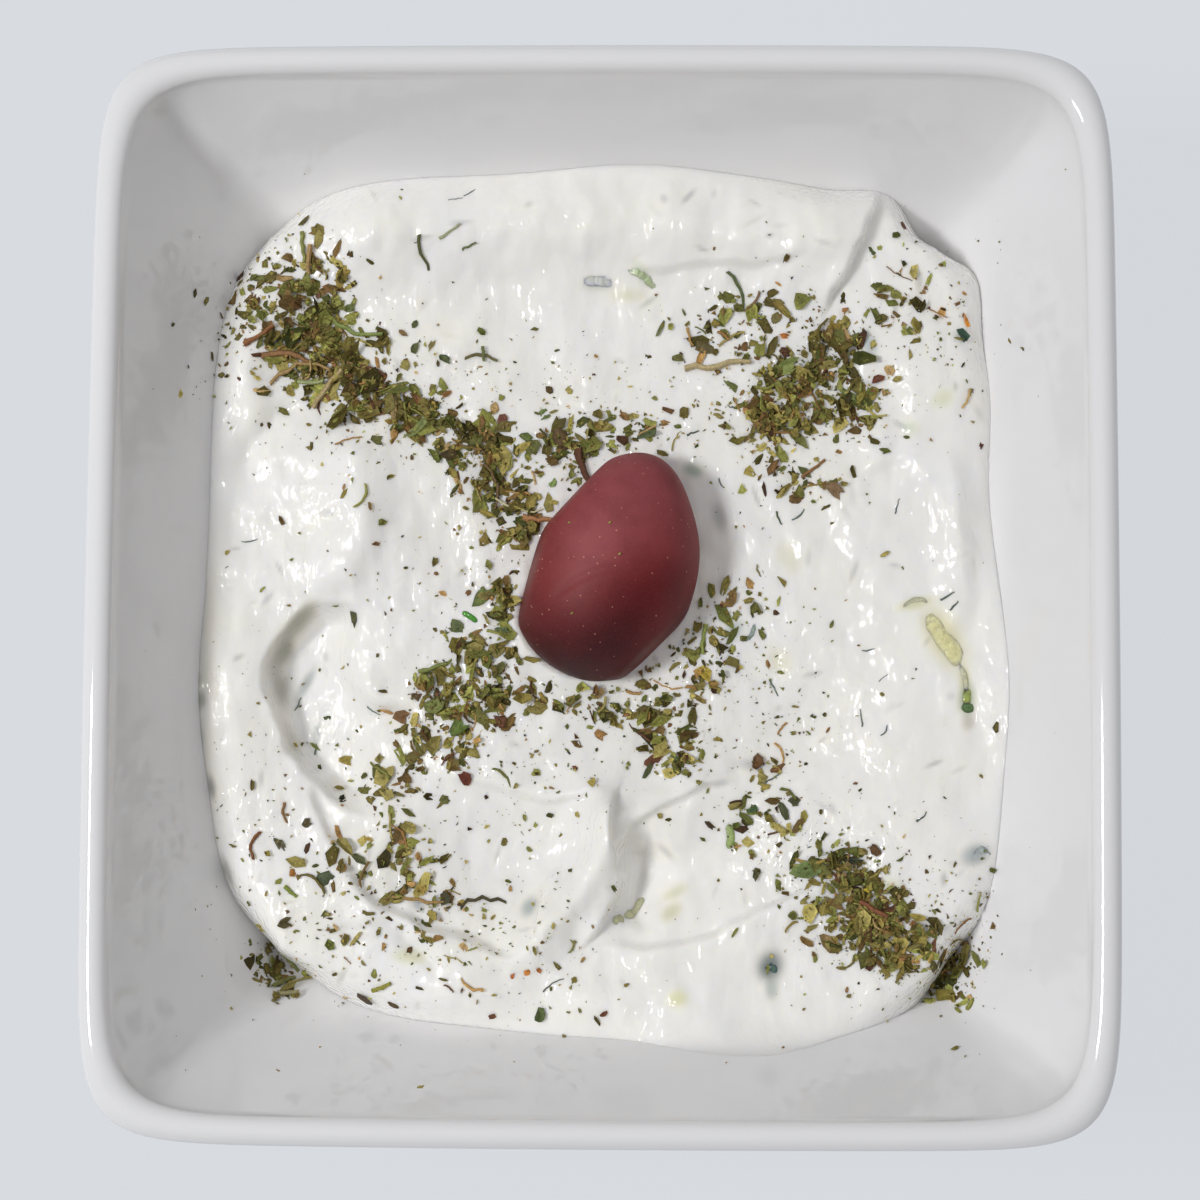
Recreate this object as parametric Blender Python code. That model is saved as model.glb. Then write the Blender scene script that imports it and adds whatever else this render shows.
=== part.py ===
"""Tzatziki dip in a square white porcelain dish, with one olive pressed into it.

Three solids share one frame: the dish, the dip that fills it to about two thirds of its depth, and the olive.
Metres, +Z up. The origin is on the table under the middle of the dish, whose longer side lies along Y.
Sizes and places below are in millimetres, and MM turns them into metres where a mesh is made.
"""

import math

import bmesh
import bpy
from mathutils import Vector

MM = 0.001
GAP = 0.3  # between pieces that touch

# Dish: a rounded square that narrows towards its foot
DISH_WIDTH = 105.0
DISH_LENGTH = 112.6
DISH_HEIGHT = 42.0
LIP_WIDTH = 3.0
WALL_LEAN = 0.555  # run inwards for each unit of height, about 29 degrees from upright
SIDE_BOW = 0.006  # how far each side bows out at its middle, as a share of half the dish
FLOOR_HEIGHT = 4.0
FLOOR_FILLET = 5.0
FOOT_HEIGHT = 2.4
FOOT_WIDTH = 3.4
FOOT_ROUND = 0.6
RECESS_DEPTH = 1.3
POINTS_PER_SIDE = 14

# Exponents of the outline |x|^n + |y|^n = 1: the higher, the tighter the corners
RIM_SQUARENESS = 12.9
CREASE_SQUARENESS = 24.0
CREASE_DEPTH = 6.0  # below the lip, where the inner corners have become creases
FOOT_SQUARENESS = 9.0

LIP_RADIUS = LIP_WIDTH / 2
LIP_HEIGHT = DISH_HEIGHT - LIP_RADIUS  # where the dish is widest
WALL_GAP = GAP * math.hypot(1.0, WALL_LEAN)  # GAP square to the wall, taken level
WALL_HEIGHT_STEP = 0.001  # how closely the dip's edge is set onto the wall

# Dip: a grid laid over the dish's inside, heights from its mean level
DIP_LEVEL = 27.0
DIP_CELLS_X = 42
DIP_CELLS_Y = 46
DIP_SMOOTHING = 0.5
DIP_SHOULDER = 0.13  # share of the half width over which the dip rolls down to the wall
DIP_SQUARENESS = {(-1, 1): 5.5, (1, 1): 4.0, (-1, -1): 3.4, (1, -1): 5.0}  # of each corner, by its signs

# Swells of the dip's edge outwards, up the wall: x, y, reach, swell
EDGE_SWELLS = (
    (3, 46, 10, 0.9),
    (28.5, 46, 4.5, 3.4),
    (-43, -8, 12, 1.2),
    (42, 12, 18, -1.6),
    (15, -46, 8, 2.2),
    (-15, -45, 10, -0.8),
)

# Mounds and hollows of the top: x, y, radius in x, radius in y, turn in degrees, height
MOUNDS = (
    (-25.5, 38.5, 6.0, 5.5, 0, 1.2),
    (-20, 11, 8, 9, 0, 0.8),
    (-40, -16, 3.5, 9, 0, 1.2),
    (-10, -26.5, 9.0, 5.5, 15, -1.6),
    (9, -27.5, 7.0, 5.5, 25, -1.2),
    (0.5, -42, 4.5, 3.0, 0, 0.8),
    (9, -43, 4.5, 3.2, 0, 0.9),
    (34, 26, 5.5, 8.0, 0, 0.9),
    (33, -12, 6.0, 8.0, 0, 0.9),
    (20.5, -12.5, 8.0, 6.5, 30, -1.0),
    (31, -25, 6.0, 6.0, 0, 0.9),
)

# Ridges and grooves: height, width left and right of the way the points run, then the points
RIDGES = (
    # slab along the back, with a slope facing forwards
    (2.4, 8.0, 4.6, ((-34, 40), (-20, 40), (-6, 40.5), (8, 41), (20, 40), (30, 41))),
    # peak at the back right
    (2.2, 2.4, 4.0, ((29.5, 46), (28.6, 41), (27, 37.5), (24.8, 33.6))),
    # hill on the left
    (2.2, 6.0, 3.2, ((-27, -1), (-26.2, 6), (-26, 12), (-26.5, 20))),
    # folds along the left wall
    (1.6, 4.0, 3.2, ((-41, 19), (-39, 25), (-38.5, 32))),
    (1.9, 3.4, 3.2, ((-36.5, -15), (-37.5, -23), (-35.5, -30), (-31, -35))),
    # front-left mass, with a trough behind it
    (1.7, 2.6, 4.0, ((-32, -27), (-27, -31.5), (-21, -35.5), (-15, -38), (-9, -40.5))),
    (-1.5, 3.5, 2.4, ((-28, -24), (-25, -27.5), (-20.5, -31.5), (-15, -34), (-10, -36))),
    # fin at the front, the crest that joins it, and the hollow on its right
    (2.6, 2.4, 2.8, ((-0.5, -19), (0.8, -22.5), (0.2, -28.5), (-3, -31.5), (-5.5, -34.5), (-9.5, -39.5))),
    (1.5, 2.4, 2.2, ((13, -19), (7, -21), (3.2, -23.6), (1, -26))),
    (-2.0, 2.6, 2.2, ((2.8, -25.5), (4.2, -28.5), (3.2, -31.5), (2.4, -34.5))),
    # ledge in front of the right bowl
    (1.1, 2.2, 3.5, ((2, -37.5), (7, -37.6), (12, -36.6), (17, -34.4), (22, -32))),
    # folds on the right
    (1.6, 2.2, 2.6, ((36.8, 17), (37.8, 9), (37.2, 3), (36, -3))),
    (1.2, 3.0, 2.4, ((24, 12.5), (27, 9), (28.8, 3), (28.5, -4))),
)
RIDGE_FADE = 0.25  # share of a ridge's length over which each end fades out

# Spoon hollow on the left: an oval whose deepest point lies near its left edge
SCOOP_CENTRE = (-28.6, -11.0)
SCOOP_RADII = (7.4, 13.0)
SCOOP_TURN = -14.0
SCOOP_DEEPEST = (-0.50, 0.05)  # as shares of the radii
SCOOP_DEPTH = 3.6
SCOOP_SHARPNESS = 2.2
SCOOP_RIM = (1.5, 2.6, 3.4, ((-30, 3), (-35, -2), (-38, -8), (-37, -15), (-33.5, -21), (-30, -25)))

# Olive: an egg lying on its side, narrow end up and away
OLIVE_LENGTH = 25.2
OLIVE_WIDTH = 17.2
OLIVE_FULLNESS = 2.4  # exponent of the long outline, 2 for an ellipse
OLIVE_TAPER = 0.10  # how much slimmer its narrow end is
OLIVE_CENTRE = (1.3, 3.4, 29.4)
OLIVE_HEADING = 27.0  # degrees from +Y towards +X
OLIVE_TILT = 14.0
OLIVE_SEGMENTS = 24
OLIVE_RINGS = 12

PORCELAIN = ((0.80, 0.81, 0.81), 0.10)
YOGURT = ((0.90, 0.89, 0.84), 0.35)
OLIVE_SKIN = ((0.13, 0.022, 0.028), 0.30)


def clear_scene():
    for item in list(bpy.data.objects):
        bpy.data.objects.remove(item, do_unlink=True)


def material(name, colour, roughness):
    surface = bpy.data.materials.new(name)
    surface.use_nodes = True
    shader = surface.node_tree.nodes["Principled BSDF"]
    shader.inputs["Base Color"].default_value = (*colour, 1.0)
    shader.inputs["Roughness"].default_value = roughness
    shader.inputs["Metallic"].default_value = 0.0
    return surface


def add_object(name, bm, surface=None, sharp_angle=40.0):
    """Close a bmesh into a smooth-shaded object and link it to the scene."""
    bmesh.ops.recalc_face_normals(bm, faces=bm.faces)
    mesh = bpy.data.meshes.new(name)
    bm.to_mesh(mesh)
    bm.free()
    mesh.shade_smooth()
    mesh.set_sharp_from_angle(angle=math.radians(sharp_angle))
    if surface:
        mesh.materials.append(surface)
    item = bpy.data.objects.new(name, mesh)
    bpy.context.collection.objects.link(item)
    return item


# The outline shared by the dish and the dip ----------------------------------------------------------------

def inner_inset(height):
    """How far the dish's inner face stands inside the rim's outline."""
    return LIP_WIDTH + outer_inset(height)


def outer_inset(height):
    return (LIP_HEIGHT - height) * WALL_LEAN


def inner_squareness(height):
    share = min(max((LIP_HEIGHT - height) / CREASE_DEPTH, 0.0), 1.0)
    return RIM_SQUARENESS + (CREASE_SQUARENESS - RIM_SQUARENESS) * share


def wall_point(s, t, inset, squareness):
    """Plan position on the rounded square that stands inset inside the rim.

    s and t run from -1 to 1 and lie on the edge of the plain square."""
    pull = (abs(s) ** squareness + abs(t) ** squareness) ** (-1.0 / squareness)
    s, t = s * pull, t * pull
    half_x = DISH_WIDTH / 2 - inset
    half_y = DISH_LENGTH / 2 - inset
    return half_x * s * (1.0 - SIDE_BOW * t * t), half_y * t * (1.0 - SIDE_BOW * s * s)


def square_edge(per_side):
    """Points round the edge of the square, closer together towards its corners."""
    points = []
    for quarter in range(4):
        for step in range(per_side):
            s, t = 1.0, math.sin((step / per_side - 0.5) * math.pi)
            for _ in range(quarter):
                s, t = -t, s
            points.append((s, t))
    return points


def ring_edges(bm, positions):
    """A closed loop of edges through positions in millimetres."""
    verts = [bm.verts.new(Vector(p) * MM) for p in positions]
    return [bm.edges.new((a, b)) for a, b in zip(verts, verts[1:] + verts[:1])]


def arc(centre_inset, centre_height, radius, start, end, steps):
    """(inset, height) along an arc; 0 degrees points inwards and 90 up."""
    points = []
    for step in range(steps + 1):
        angle = math.radians(start + (end - start) * step / steps)
        points.append((centre_inset + radius * math.cos(angle), centre_height + radius * math.sin(angle)))
    return points


def floor_fillet(offset, steps):
    """(inset, height) down the fillet between inner wall and floor, offset into the dish's hollow."""
    lean = math.degrees(math.atan(WALL_LEAN))
    radius = FLOOR_FILLET - offset
    centre_height = FLOOR_HEIGHT + FLOOR_FILLET
    centre_inset = inner_inset(centre_height) + FLOOR_FILLET * math.hypot(1.0, WALL_LEAN)
    return arc(centre_inset, centre_height, radius, 180.0 + lean, 270.0, steps)


# Dish ------------------------------------------------------------------------------------------------------

def dish_profile():
    """(inset, height, squareness) of each ring, from under the dish over its lip to its floor."""
    foot_outer = outer_inset(FOOT_HEIGHT) + FOOT_ROUND
    foot_inner = foot_outer + FOOT_WIDTH
    foot = [(foot_inner + RECESS_DEPTH, RECESS_DEPTH)]
    foot += arc(foot_inner - FOOT_ROUND, FOOT_ROUND, FOOT_ROUND, 0.0, -90.0, 2)
    foot += arc(foot_outer + FOOT_ROUND, FOOT_ROUND, FOOT_ROUND, 270.0, 180.0, 2)
    foot += [(foot_outer, FOOT_HEIGHT - FOOT_ROUND), (outer_inset(FOOT_HEIGHT), FOOT_HEIGHT)]
    rings = [(inset, height, FOOT_SQUARENESS) for inset, height in foot]
    middle = (FOOT_HEIGHT + LIP_HEIGHT) / 2
    rings.append((outer_inset(middle), middle, (FOOT_SQUARENESS + RIM_SQUARENESS) / 2))
    lip = arc(LIP_RADIUS, LIP_HEIGHT, LIP_RADIUS, 180.0, 0.0, 6)
    rings += [(inset, height, RIM_SQUARENESS) for inset, height in lip]
    for depth in (CREASE_DEPTH / 3, CREASE_DEPTH * 2 / 3, CREASE_DEPTH):
        height = LIP_HEIGHT - depth
        rings.append((inner_inset(height), height, inner_squareness(height)))
    rings += [(inset, height, CREASE_SQUARENESS) for inset, height in floor_fillet(0.0, 4)]
    return rings


def make_dish():
    bm = bmesh.new()
    loops = []
    around = square_edge(POINTS_PER_SIDE)
    for inset, height, squareness in dish_profile():
        loops.append(ring_edges(bm, [(*wall_point(s, t, inset, squareness), height) for s, t in around]))
    for lower, upper in zip(loops, loops[1:]):
        bmesh.ops.bridge_loops(bm, edges=lower + upper)
    bmesh.ops.contextual_create(bm, geom=loops[0])
    bmesh.ops.contextual_create(bm, geom=loops[-1])
    return add_object("dish", bm, material("glazed_porcelain", *PORCELAIN))


# Dip -------------------------------------------------------------------------------------------------------

def smoothstep(value):
    value = min(max(value, 0.0), 1.0)
    return value * value * (3.0 - 2.0 * value)


def curve_through(points, steps=5):
    """A Catmull-Rom curve through plan points."""
    knots = [Vector(p) for p in points]
    knots = [2 * knots[0] - knots[1], *knots, 2 * knots[-1] - knots[-2]]
    curve = []
    for a, b, c, d in zip(knots, knots[1:], knots[2:], knots[3:]):
        for step in range(steps):
            u = step / steps
            curve.append(b + (c - a) * u / 2 + (2 * a - 5 * b + 4 * c - d) * u ** 2 / 2
                         + (3 * b - a - 3 * c + d) * u ** 3 / 2)
    curve.append(knots[-2])
    return curve


def mound(place, x, y, radius_x, radius_y, turn, height):
    """A rounded bump, or a hollow where height is negative."""
    turn = math.radians(turn)
    east, north = place.x - x, place.y - y
    u = (east * math.cos(turn) + north * math.sin(turn)) / radius_x
    v = (north * math.cos(turn) - east * math.sin(turn)) / radius_y
    return height * math.exp(-u * u - v * v)


def ridge(place, height, left, right, curve):
    """A crest along a curve, with its own width on each side; both ends fade out."""
    nearest, side, share = math.inf, 1.0, 0.0
    for index, (start, end) in enumerate(zip(curve, curve[1:])):
        run = end - start
        along = min(max((place - start).dot(run) / run.length_squared, 0.0), 1.0)
        offset = place - start - along * run
        if offset.length < nearest:
            nearest = offset.length
            side = run.cross(offset)
            share = (index + along) / (len(curve) - 1)
    width = left if side > 0.0 else right
    fade = smoothstep(min(share, 1.0 - share) / RIDGE_FADE)
    return height * fade * math.exp(-(nearest / width) ** 2)


def scoop(place):
    """The hollow a spoon leaves: steep on the side where its deepest point lies near the edge."""
    turn = math.radians(SCOOP_TURN)
    east, north = place.x - SCOOP_CENTRE[0], place.y - SCOOP_CENTRE[1]
    u = (east * math.cos(turn) + north * math.sin(turn)) / SCOOP_RADII[0] - SCOOP_DEEPEST[0]
    v = (north * math.cos(turn) - east * math.sin(turn)) / SCOOP_RADII[1] - SCOOP_DEEPEST[1]
    # (u, v) is stretched until it meets the unit circle round the oval's centre
    a = u * u + v * v
    b = u * SCOOP_DEEPEST[0] + v * SCOOP_DEEPEST[1]
    c = SCOOP_DEEPEST[0] ** 2 + SCOOP_DEEPEST[1] ** 2 - 1.0
    if a == 0.0:
        return -SCOOP_DEPTH
    stretch = (math.sqrt(b * b - a * c) - b) / a
    share = min(1.0 / stretch, 1.0)
    return -SCOOP_DEPTH * (1.0 - share ** SCOOP_SHARPNESS)


def top_height(place, ridges):
    """Height of the dip's top, away from the wall."""
    height = DIP_LEVEL + scoop(place)
    height += sum(mound(place, *values) for values in MOUNDS)
    height += sum(ridge(place, *values) for values in ridges)
    return height


def wall_height(x, y):
    """Height at which the dish's inner wall, less the gap, passes through a point of the plan."""
    low, high = FLOOR_HEIGHT + FLOOR_FILLET, LIP_HEIGHT
    while high - low > WALL_HEIGHT_STEP:
        height = (low + high) / 2
        squareness = inner_squareness(height)
        inset = inner_inset(height) + WALL_GAP
        s, t = abs(x) / (DISH_WIDTH / 2 - inset), abs(y) / (DISH_LENGTH / 2 - inset)
        s, t = s / (1.0 - SIDE_BOW * t * t), t / (1.0 - SIDE_BOW * s * s)
        if s ** squareness + t ** squareness > 1.0:
            low = height
        else:
            high = height
    return low


def edge_point(s, t):
    """Where the dip meets the wall, for a point on the square's edge."""
    squareness = DIP_SQUARENESS[(1 if s > 0 else -1, 1 if t > 0 else -1)]
    x, y = wall_point(s, t, inner_inset(DIP_LEVEL) + WALL_GAP, squareness)
    swell = sum(rise * math.exp(-((x - swell_x) ** 2 + (y - swell_y) ** 2) / reach ** 2)
                for swell_x, swell_y, reach, rise in EDGE_SWELLS)
    grow = 1.0 + swell / math.hypot(x, y)
    return x * grow, y * grow, wall_height(x * grow, y * grow)


def dip_wall_point(s, t, height):
    return wall_point(s, t, inner_inset(height) + WALL_GAP, inner_squareness(height))


def dip_point(s, t, ridges):
    """Position of the grid point (s, t) on the dip's top."""
    reach = max(abs(s), abs(t))
    if reach == 0.0:
        return (0.0, 0.0, top_height(Vector((0.0, 0.0)), ridges))
    edge_x, edge_y, edge_z = edge_point(s / reach, t / reach)
    level_inset = inner_inset(DIP_LEVEL)
    pull = reach ** 4
    x = s * (DISH_WIDTH / 2 - level_inset) * (1.0 - pull) + edge_x * reach * pull
    y = t * (DISH_LENGTH / 2 - level_inset) * (1.0 - pull) + edge_y * reach * pull
    shoulder = max((reach - 1.0) / DIP_SHOULDER + 1.0, 0.0)
    fall = 1.0 - math.sqrt(1.0 - shoulder ** 2)
    top_z = top_height(Vector((x, y)), ridges)
    return (x, y, top_z + (edge_z - top_z) * fall)


def in_order(loop):
    """The vertices of a closed loop of edges, one after another."""
    edge, vert = loop[0], loop[0].verts[0]
    verts = []
    while vert not in verts:
        verts.append(vert)
        vert = edge.other_vert(vert)
        edge = next(e for e in vert.link_edges if e in loop and e != edge)
    return verts


def make_dip():
    """The dip before the olive's seat is cut: a draped grid, and rings down the wall to the floor."""
    ridges = [(*values[:3], curve_through(values[3])) for values in (*RIDGES, SCOOP_RIM)]
    bm = bmesh.new()
    bmesh.ops.create_grid(bm, x_segments=DIP_CELLS_X, y_segments=DIP_CELLS_Y, size=1.0)
    upper = [edge for edge in bm.edges if edge.is_boundary]
    around = [(vert.co.x, vert.co.y) for vert in in_order(upper)]
    for vert in bm.verts:
        vert.co = Vector(dip_point(vert.co.x, vert.co.y, ridges)) * MM
    inner = [vert for vert in bm.verts if not vert.is_boundary]
    bmesh.ops.smooth_vert(bm, verts=inner, factor=DIP_SMOOTHING, use_axis_z=True)
    fillet = floor_fillet(GAP, 3)
    for share in (0.4, 0.8):
        ring = []
        for s, t in around:
            height = edge_point(s, t)[2] * (1.0 - share) + fillet[0][1] * share
            ring.append((*dip_wall_point(s, t, height), height))
        upper = bridge_down(bm, upper, ring)
    for inset, height in fillet:
        ring = [(*wall_point(s, t, inset, CREASE_SQUARENESS), height) for s, t in around]
        upper = bridge_down(bm, upper, ring)
    bmesh.ops.contextual_create(bm, geom=upper)
    bmesh.ops.triangulate(bm, faces=bm.faces)
    return add_object("tzatziki", bm, material("yogurt", *YOGURT))


def bridge_down(bm, upper, positions):
    lower = ring_edges(bm, positions)
    bmesh.ops.bridge_loops(bm, edges=upper + lower)
    return lower


# Olive -----------------------------------------------------------------------------------------------------

def olive_solid(name, grow, surface=None):
    """The olive, or a copy whose skin stands grow outside it."""
    bm = bmesh.new()
    bmesh.ops.create_uvsphere(bm, u_segments=OLIVE_SEGMENTS, v_segments=OLIVE_RINGS, radius=1.0)
    for vert in bm.verts:
        across = math.hypot(vert.co.x, vert.co.y)
        u = vert.co.z
        if across > 0.0:
            radius = max(1.0 - abs(u) ** OLIVE_FULLNESS, 0.0) ** 0.5 * (1.0 - OLIVE_TAPER * u)
            vert.co.x *= radius * (OLIVE_WIDTH / 2 + grow) / across
            vert.co.y *= radius * (OLIVE_WIDTH / 2 + grow) / across
        vert.co.z = u * (OLIVE_LENGTH / 2 + grow)
        vert.co *= MM
    olive = add_object(name, bm, surface)
    heading, tilt = math.radians(OLIVE_HEADING), math.radians(OLIVE_TILT)
    level = math.cos(tilt)
    axis = Vector((math.sin(heading) * level, math.cos(heading) * level, math.sin(tilt)))
    olive.location = Vector(OLIVE_CENTRE) * MM
    olive.rotation_euler = axis.to_track_quat("Z", "Y").to_euler()
    return olive


def cut_seat(dip):
    """Press the olive's seat into the dip."""
    cutter = olive_solid("olive_seat", GAP)
    cutter.hide_render = True
    cutter.display_type = "WIRE"
    seat = dip.modifiers.new("olive_seat", "BOOLEAN")
    seat.operation = "DIFFERENCE"
    seat.solver = "EXACT"
    seat.object = cutter


def main():
    clear_scene()
    make_dish()
    cut_seat(make_dip())
    olive_solid("olive", 0.0, material("olive_skin", *OLIVE_SKIN))


if __name__ == "__main__":
    main()
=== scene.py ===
"""Looks of a square porcelain dish of tzatziki with an olive, dried herbs, cucumber and dill."""

import math

import bmesh
import bpy
import numpy as np
from bpy.props import FloatProperty, IntProperty, PointerProperty, StringProperty
from mathutils import Matrix, Vector, noise
from mathutils.bvhtree import BVHTree


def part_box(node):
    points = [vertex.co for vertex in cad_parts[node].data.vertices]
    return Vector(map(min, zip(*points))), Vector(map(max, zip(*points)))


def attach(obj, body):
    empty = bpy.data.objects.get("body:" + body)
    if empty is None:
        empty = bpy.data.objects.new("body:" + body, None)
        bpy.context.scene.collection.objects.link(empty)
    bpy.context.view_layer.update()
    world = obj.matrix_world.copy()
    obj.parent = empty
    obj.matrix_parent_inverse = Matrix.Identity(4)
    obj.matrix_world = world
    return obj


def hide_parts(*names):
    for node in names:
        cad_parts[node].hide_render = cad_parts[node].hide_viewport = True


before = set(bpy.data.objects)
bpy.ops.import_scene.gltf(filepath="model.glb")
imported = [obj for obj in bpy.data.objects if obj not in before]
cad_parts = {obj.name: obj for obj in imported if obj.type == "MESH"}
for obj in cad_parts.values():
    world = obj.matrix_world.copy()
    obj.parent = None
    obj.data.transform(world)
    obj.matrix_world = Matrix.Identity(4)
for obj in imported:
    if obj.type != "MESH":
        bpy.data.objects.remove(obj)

bl_info = {
    "name": "Tzatziki Dish",
    "version": (1, 0, 0),
    "blender": (4, 5, 0),
    "location": "3D View > Sidebar > Tzatziki",
    "description": "Builds a dish of tzatziki with an olive and dried herbs",
    "category": "Add Mesh",
}

MM = 0.001
SEED = 7

# The dish's box gives the outline that every other size hangs on, in millimetres
DISH_LOW, DISH_HIGH = (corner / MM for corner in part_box("dish"))
DISH_WIDTH = DISH_HIGH.x - DISH_LOW.x
DISH_LENGTH = DISH_HIGH.y - DISH_LOW.y
DISH_HEIGHT = DISH_HIGH.z

# Walls of the dish
LIP_WIDTH = 3.0
WALL_LEAN = 0.555  # run inwards for each unit of height
SIDE_BOW = 0.006
FLOOR_HEIGHT = 4.0
FLOOR_FILLET = 5.0
FOOT_HEIGHT = 2.4
FOOT_WIDTH = 3.4
FOOT_ROUND = 0.6
RECESS_DEPTH = 1.3
RIM_SQUARENESS = 12.9
CREASE_SQUARENESS = 24.0
CREASE_DEPTH = 6.0
FOOT_SQUARENESS = 9.0
LIP_RADIUS = LIP_WIDTH / 2
LIP_HEIGHT = DISH_HEIGHT - LIP_RADIUS
DISH_PER_SIDE = 56
FOOT_STEPS = 6  # rings of each round or stretch of the profile
SIDE_STEPS = 8
LIP_STEPS = 18
LOWER_STEPS = 6
FILLET_STEPS = 8

# Dip
DIP_LEVEL = 27.0
DIP_CELLS_X = 282
DIP_CELLS_Y = 300
DIP_INTO_WALL = 0.12  # the dip's edge reaches this far into the wall, so that no gap shows
DIP_SHOULDER = 0.13
DIP_WAIST = 13.0  # height at which its side is bent to the wall's crease
DIP_DROP = 0.5  # its side goes down by at least this from its edge
DIP_SQUARENESS = {(-1, 1): 5.5, (1, 1): 4.0, (-1, -1): 3.4, (1, -1): 5.0}
EDGE_SWELLS = (  # x, y, reach, swell
    (3, 46, 10, 0.9),
    (31.2, 46, 4.5, 3.8),
    (38.5, 35.0, 5.0, 2.4),
    (41, 22, 8, 0.9),
    (-43, -10, 10, 0.7),
    (-41, -31, 8, 1.2),
    (42, 17, 13, -1.5),
    (43, -9, 9, 0.7),
    (15, -46, 8, 2.2),
    (-15, -45, 10, -0.8),
    (40.5, -40, 5, -1.6),
)

# x, y, radius in x, radius in y, turn in degrees, height
MOUNDS = (
    (-25.5, 38.5, 5.5, 5.0, 0, 1.0),  # back
    (-38.5, 24.0, 3.2, 7.5, -10, 1.1),  # left side, from the back to the front
    (-20, 11, 8, 9, 0, 0.8),
    (-39.4, -12, 5.2, 11, 0, 1.3),
    (-34, -33, 5.5, 5.0, 0, 1.0),
    (-10, -26.8, 8.0, 5.2, 10, -1.8),  # the two bowls in front
    (9.5, -28, 7.5, 4.8, 20, -1.7),
    (-14, -41, 5.0, 3.0, 0, 0.6),  # front edge
    (0.5, -42, 4.5, 3.0, 0, 0.8),
    (9, -43.3, 4.5, 3.2, 0, 0.9),
    (34, 26, 5.5, 8.0, 0, 0.9),  # right side, from the back to the front
    (26.5, 8.0, 2.4, 3.6, 0, 0.5),
    (29.5, -1.5, 2.6, 2.4, 0, 0.5),
    (33, -12, 6.0, 8.0, 0, 0.7),
    (20.5, -12.5, 8.0, 6.5, 30, -1.0),
    (31, -25, 7.0, 7.0, 0, 0.9),
)

# Crests and furrows: height, width left and right of the way the points run, points
RIDGES = (
    (2.4, 8.0, 4.6, ((-34, 40), (-20, 40), (-6, 40.5), (8, 41), (20, 40), (30, 41))),
    (1.7, 4.6, 3.4, ((-28, 0), (-27.4, 4), (-26.0, 8), (-25.6, 13), (-26.5, 19))),
    (-0.8, 1.4, 1.4, ((-33, 21.5), (-35.5, 19), (-37.6, 16.5), (-39, 13.5))),
    (0.25, 0.9, 1.2, ((-29.8, -2.5), (-28.3, -5.5), (-26.4, -9.2), (-25.4, -12.3), (-25, -16))),
    (0.5, 1.5, 1.4, ((-27, 1), (-26.1, -4), (-24.8, -9.8), (-23.8, -12.8), (-23.2, -18))),
    (-0.5, 0.8, 0.8, ((-29, -34.8), (-25, -34.8), (-22.4, -34.3), (-20, -36), (-16.5, -39.4))),
    (2.3, 2.2, 2.2, ((0, -19), (0.6, -22.5), (0.1, -26), (-1.2, -29), (-3.2, -31.4), (-5.6, -34.2),
                     (-8, -36.8), (-11, -39))),
    (-2.0, 2.0, 1.5, ((3.4, -24.5), (4.6, -28), (3.8, -31.2), (3.0, -34.5))),
    (0.8, 1.6, 2.4, ((36, 18), (37, 10), (37.6, 3), (37, -4))),
    (0.6, 1.0, 0.6, ((3.0, -7.8), (1.0, -8.3), (-2.1, -8.5), (-5.2, -7.6), (-7.6, -5.4), (-9.1, -2.6),
                     (-8.8, 0.7), (-7.9, 3.2))),
)

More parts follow.
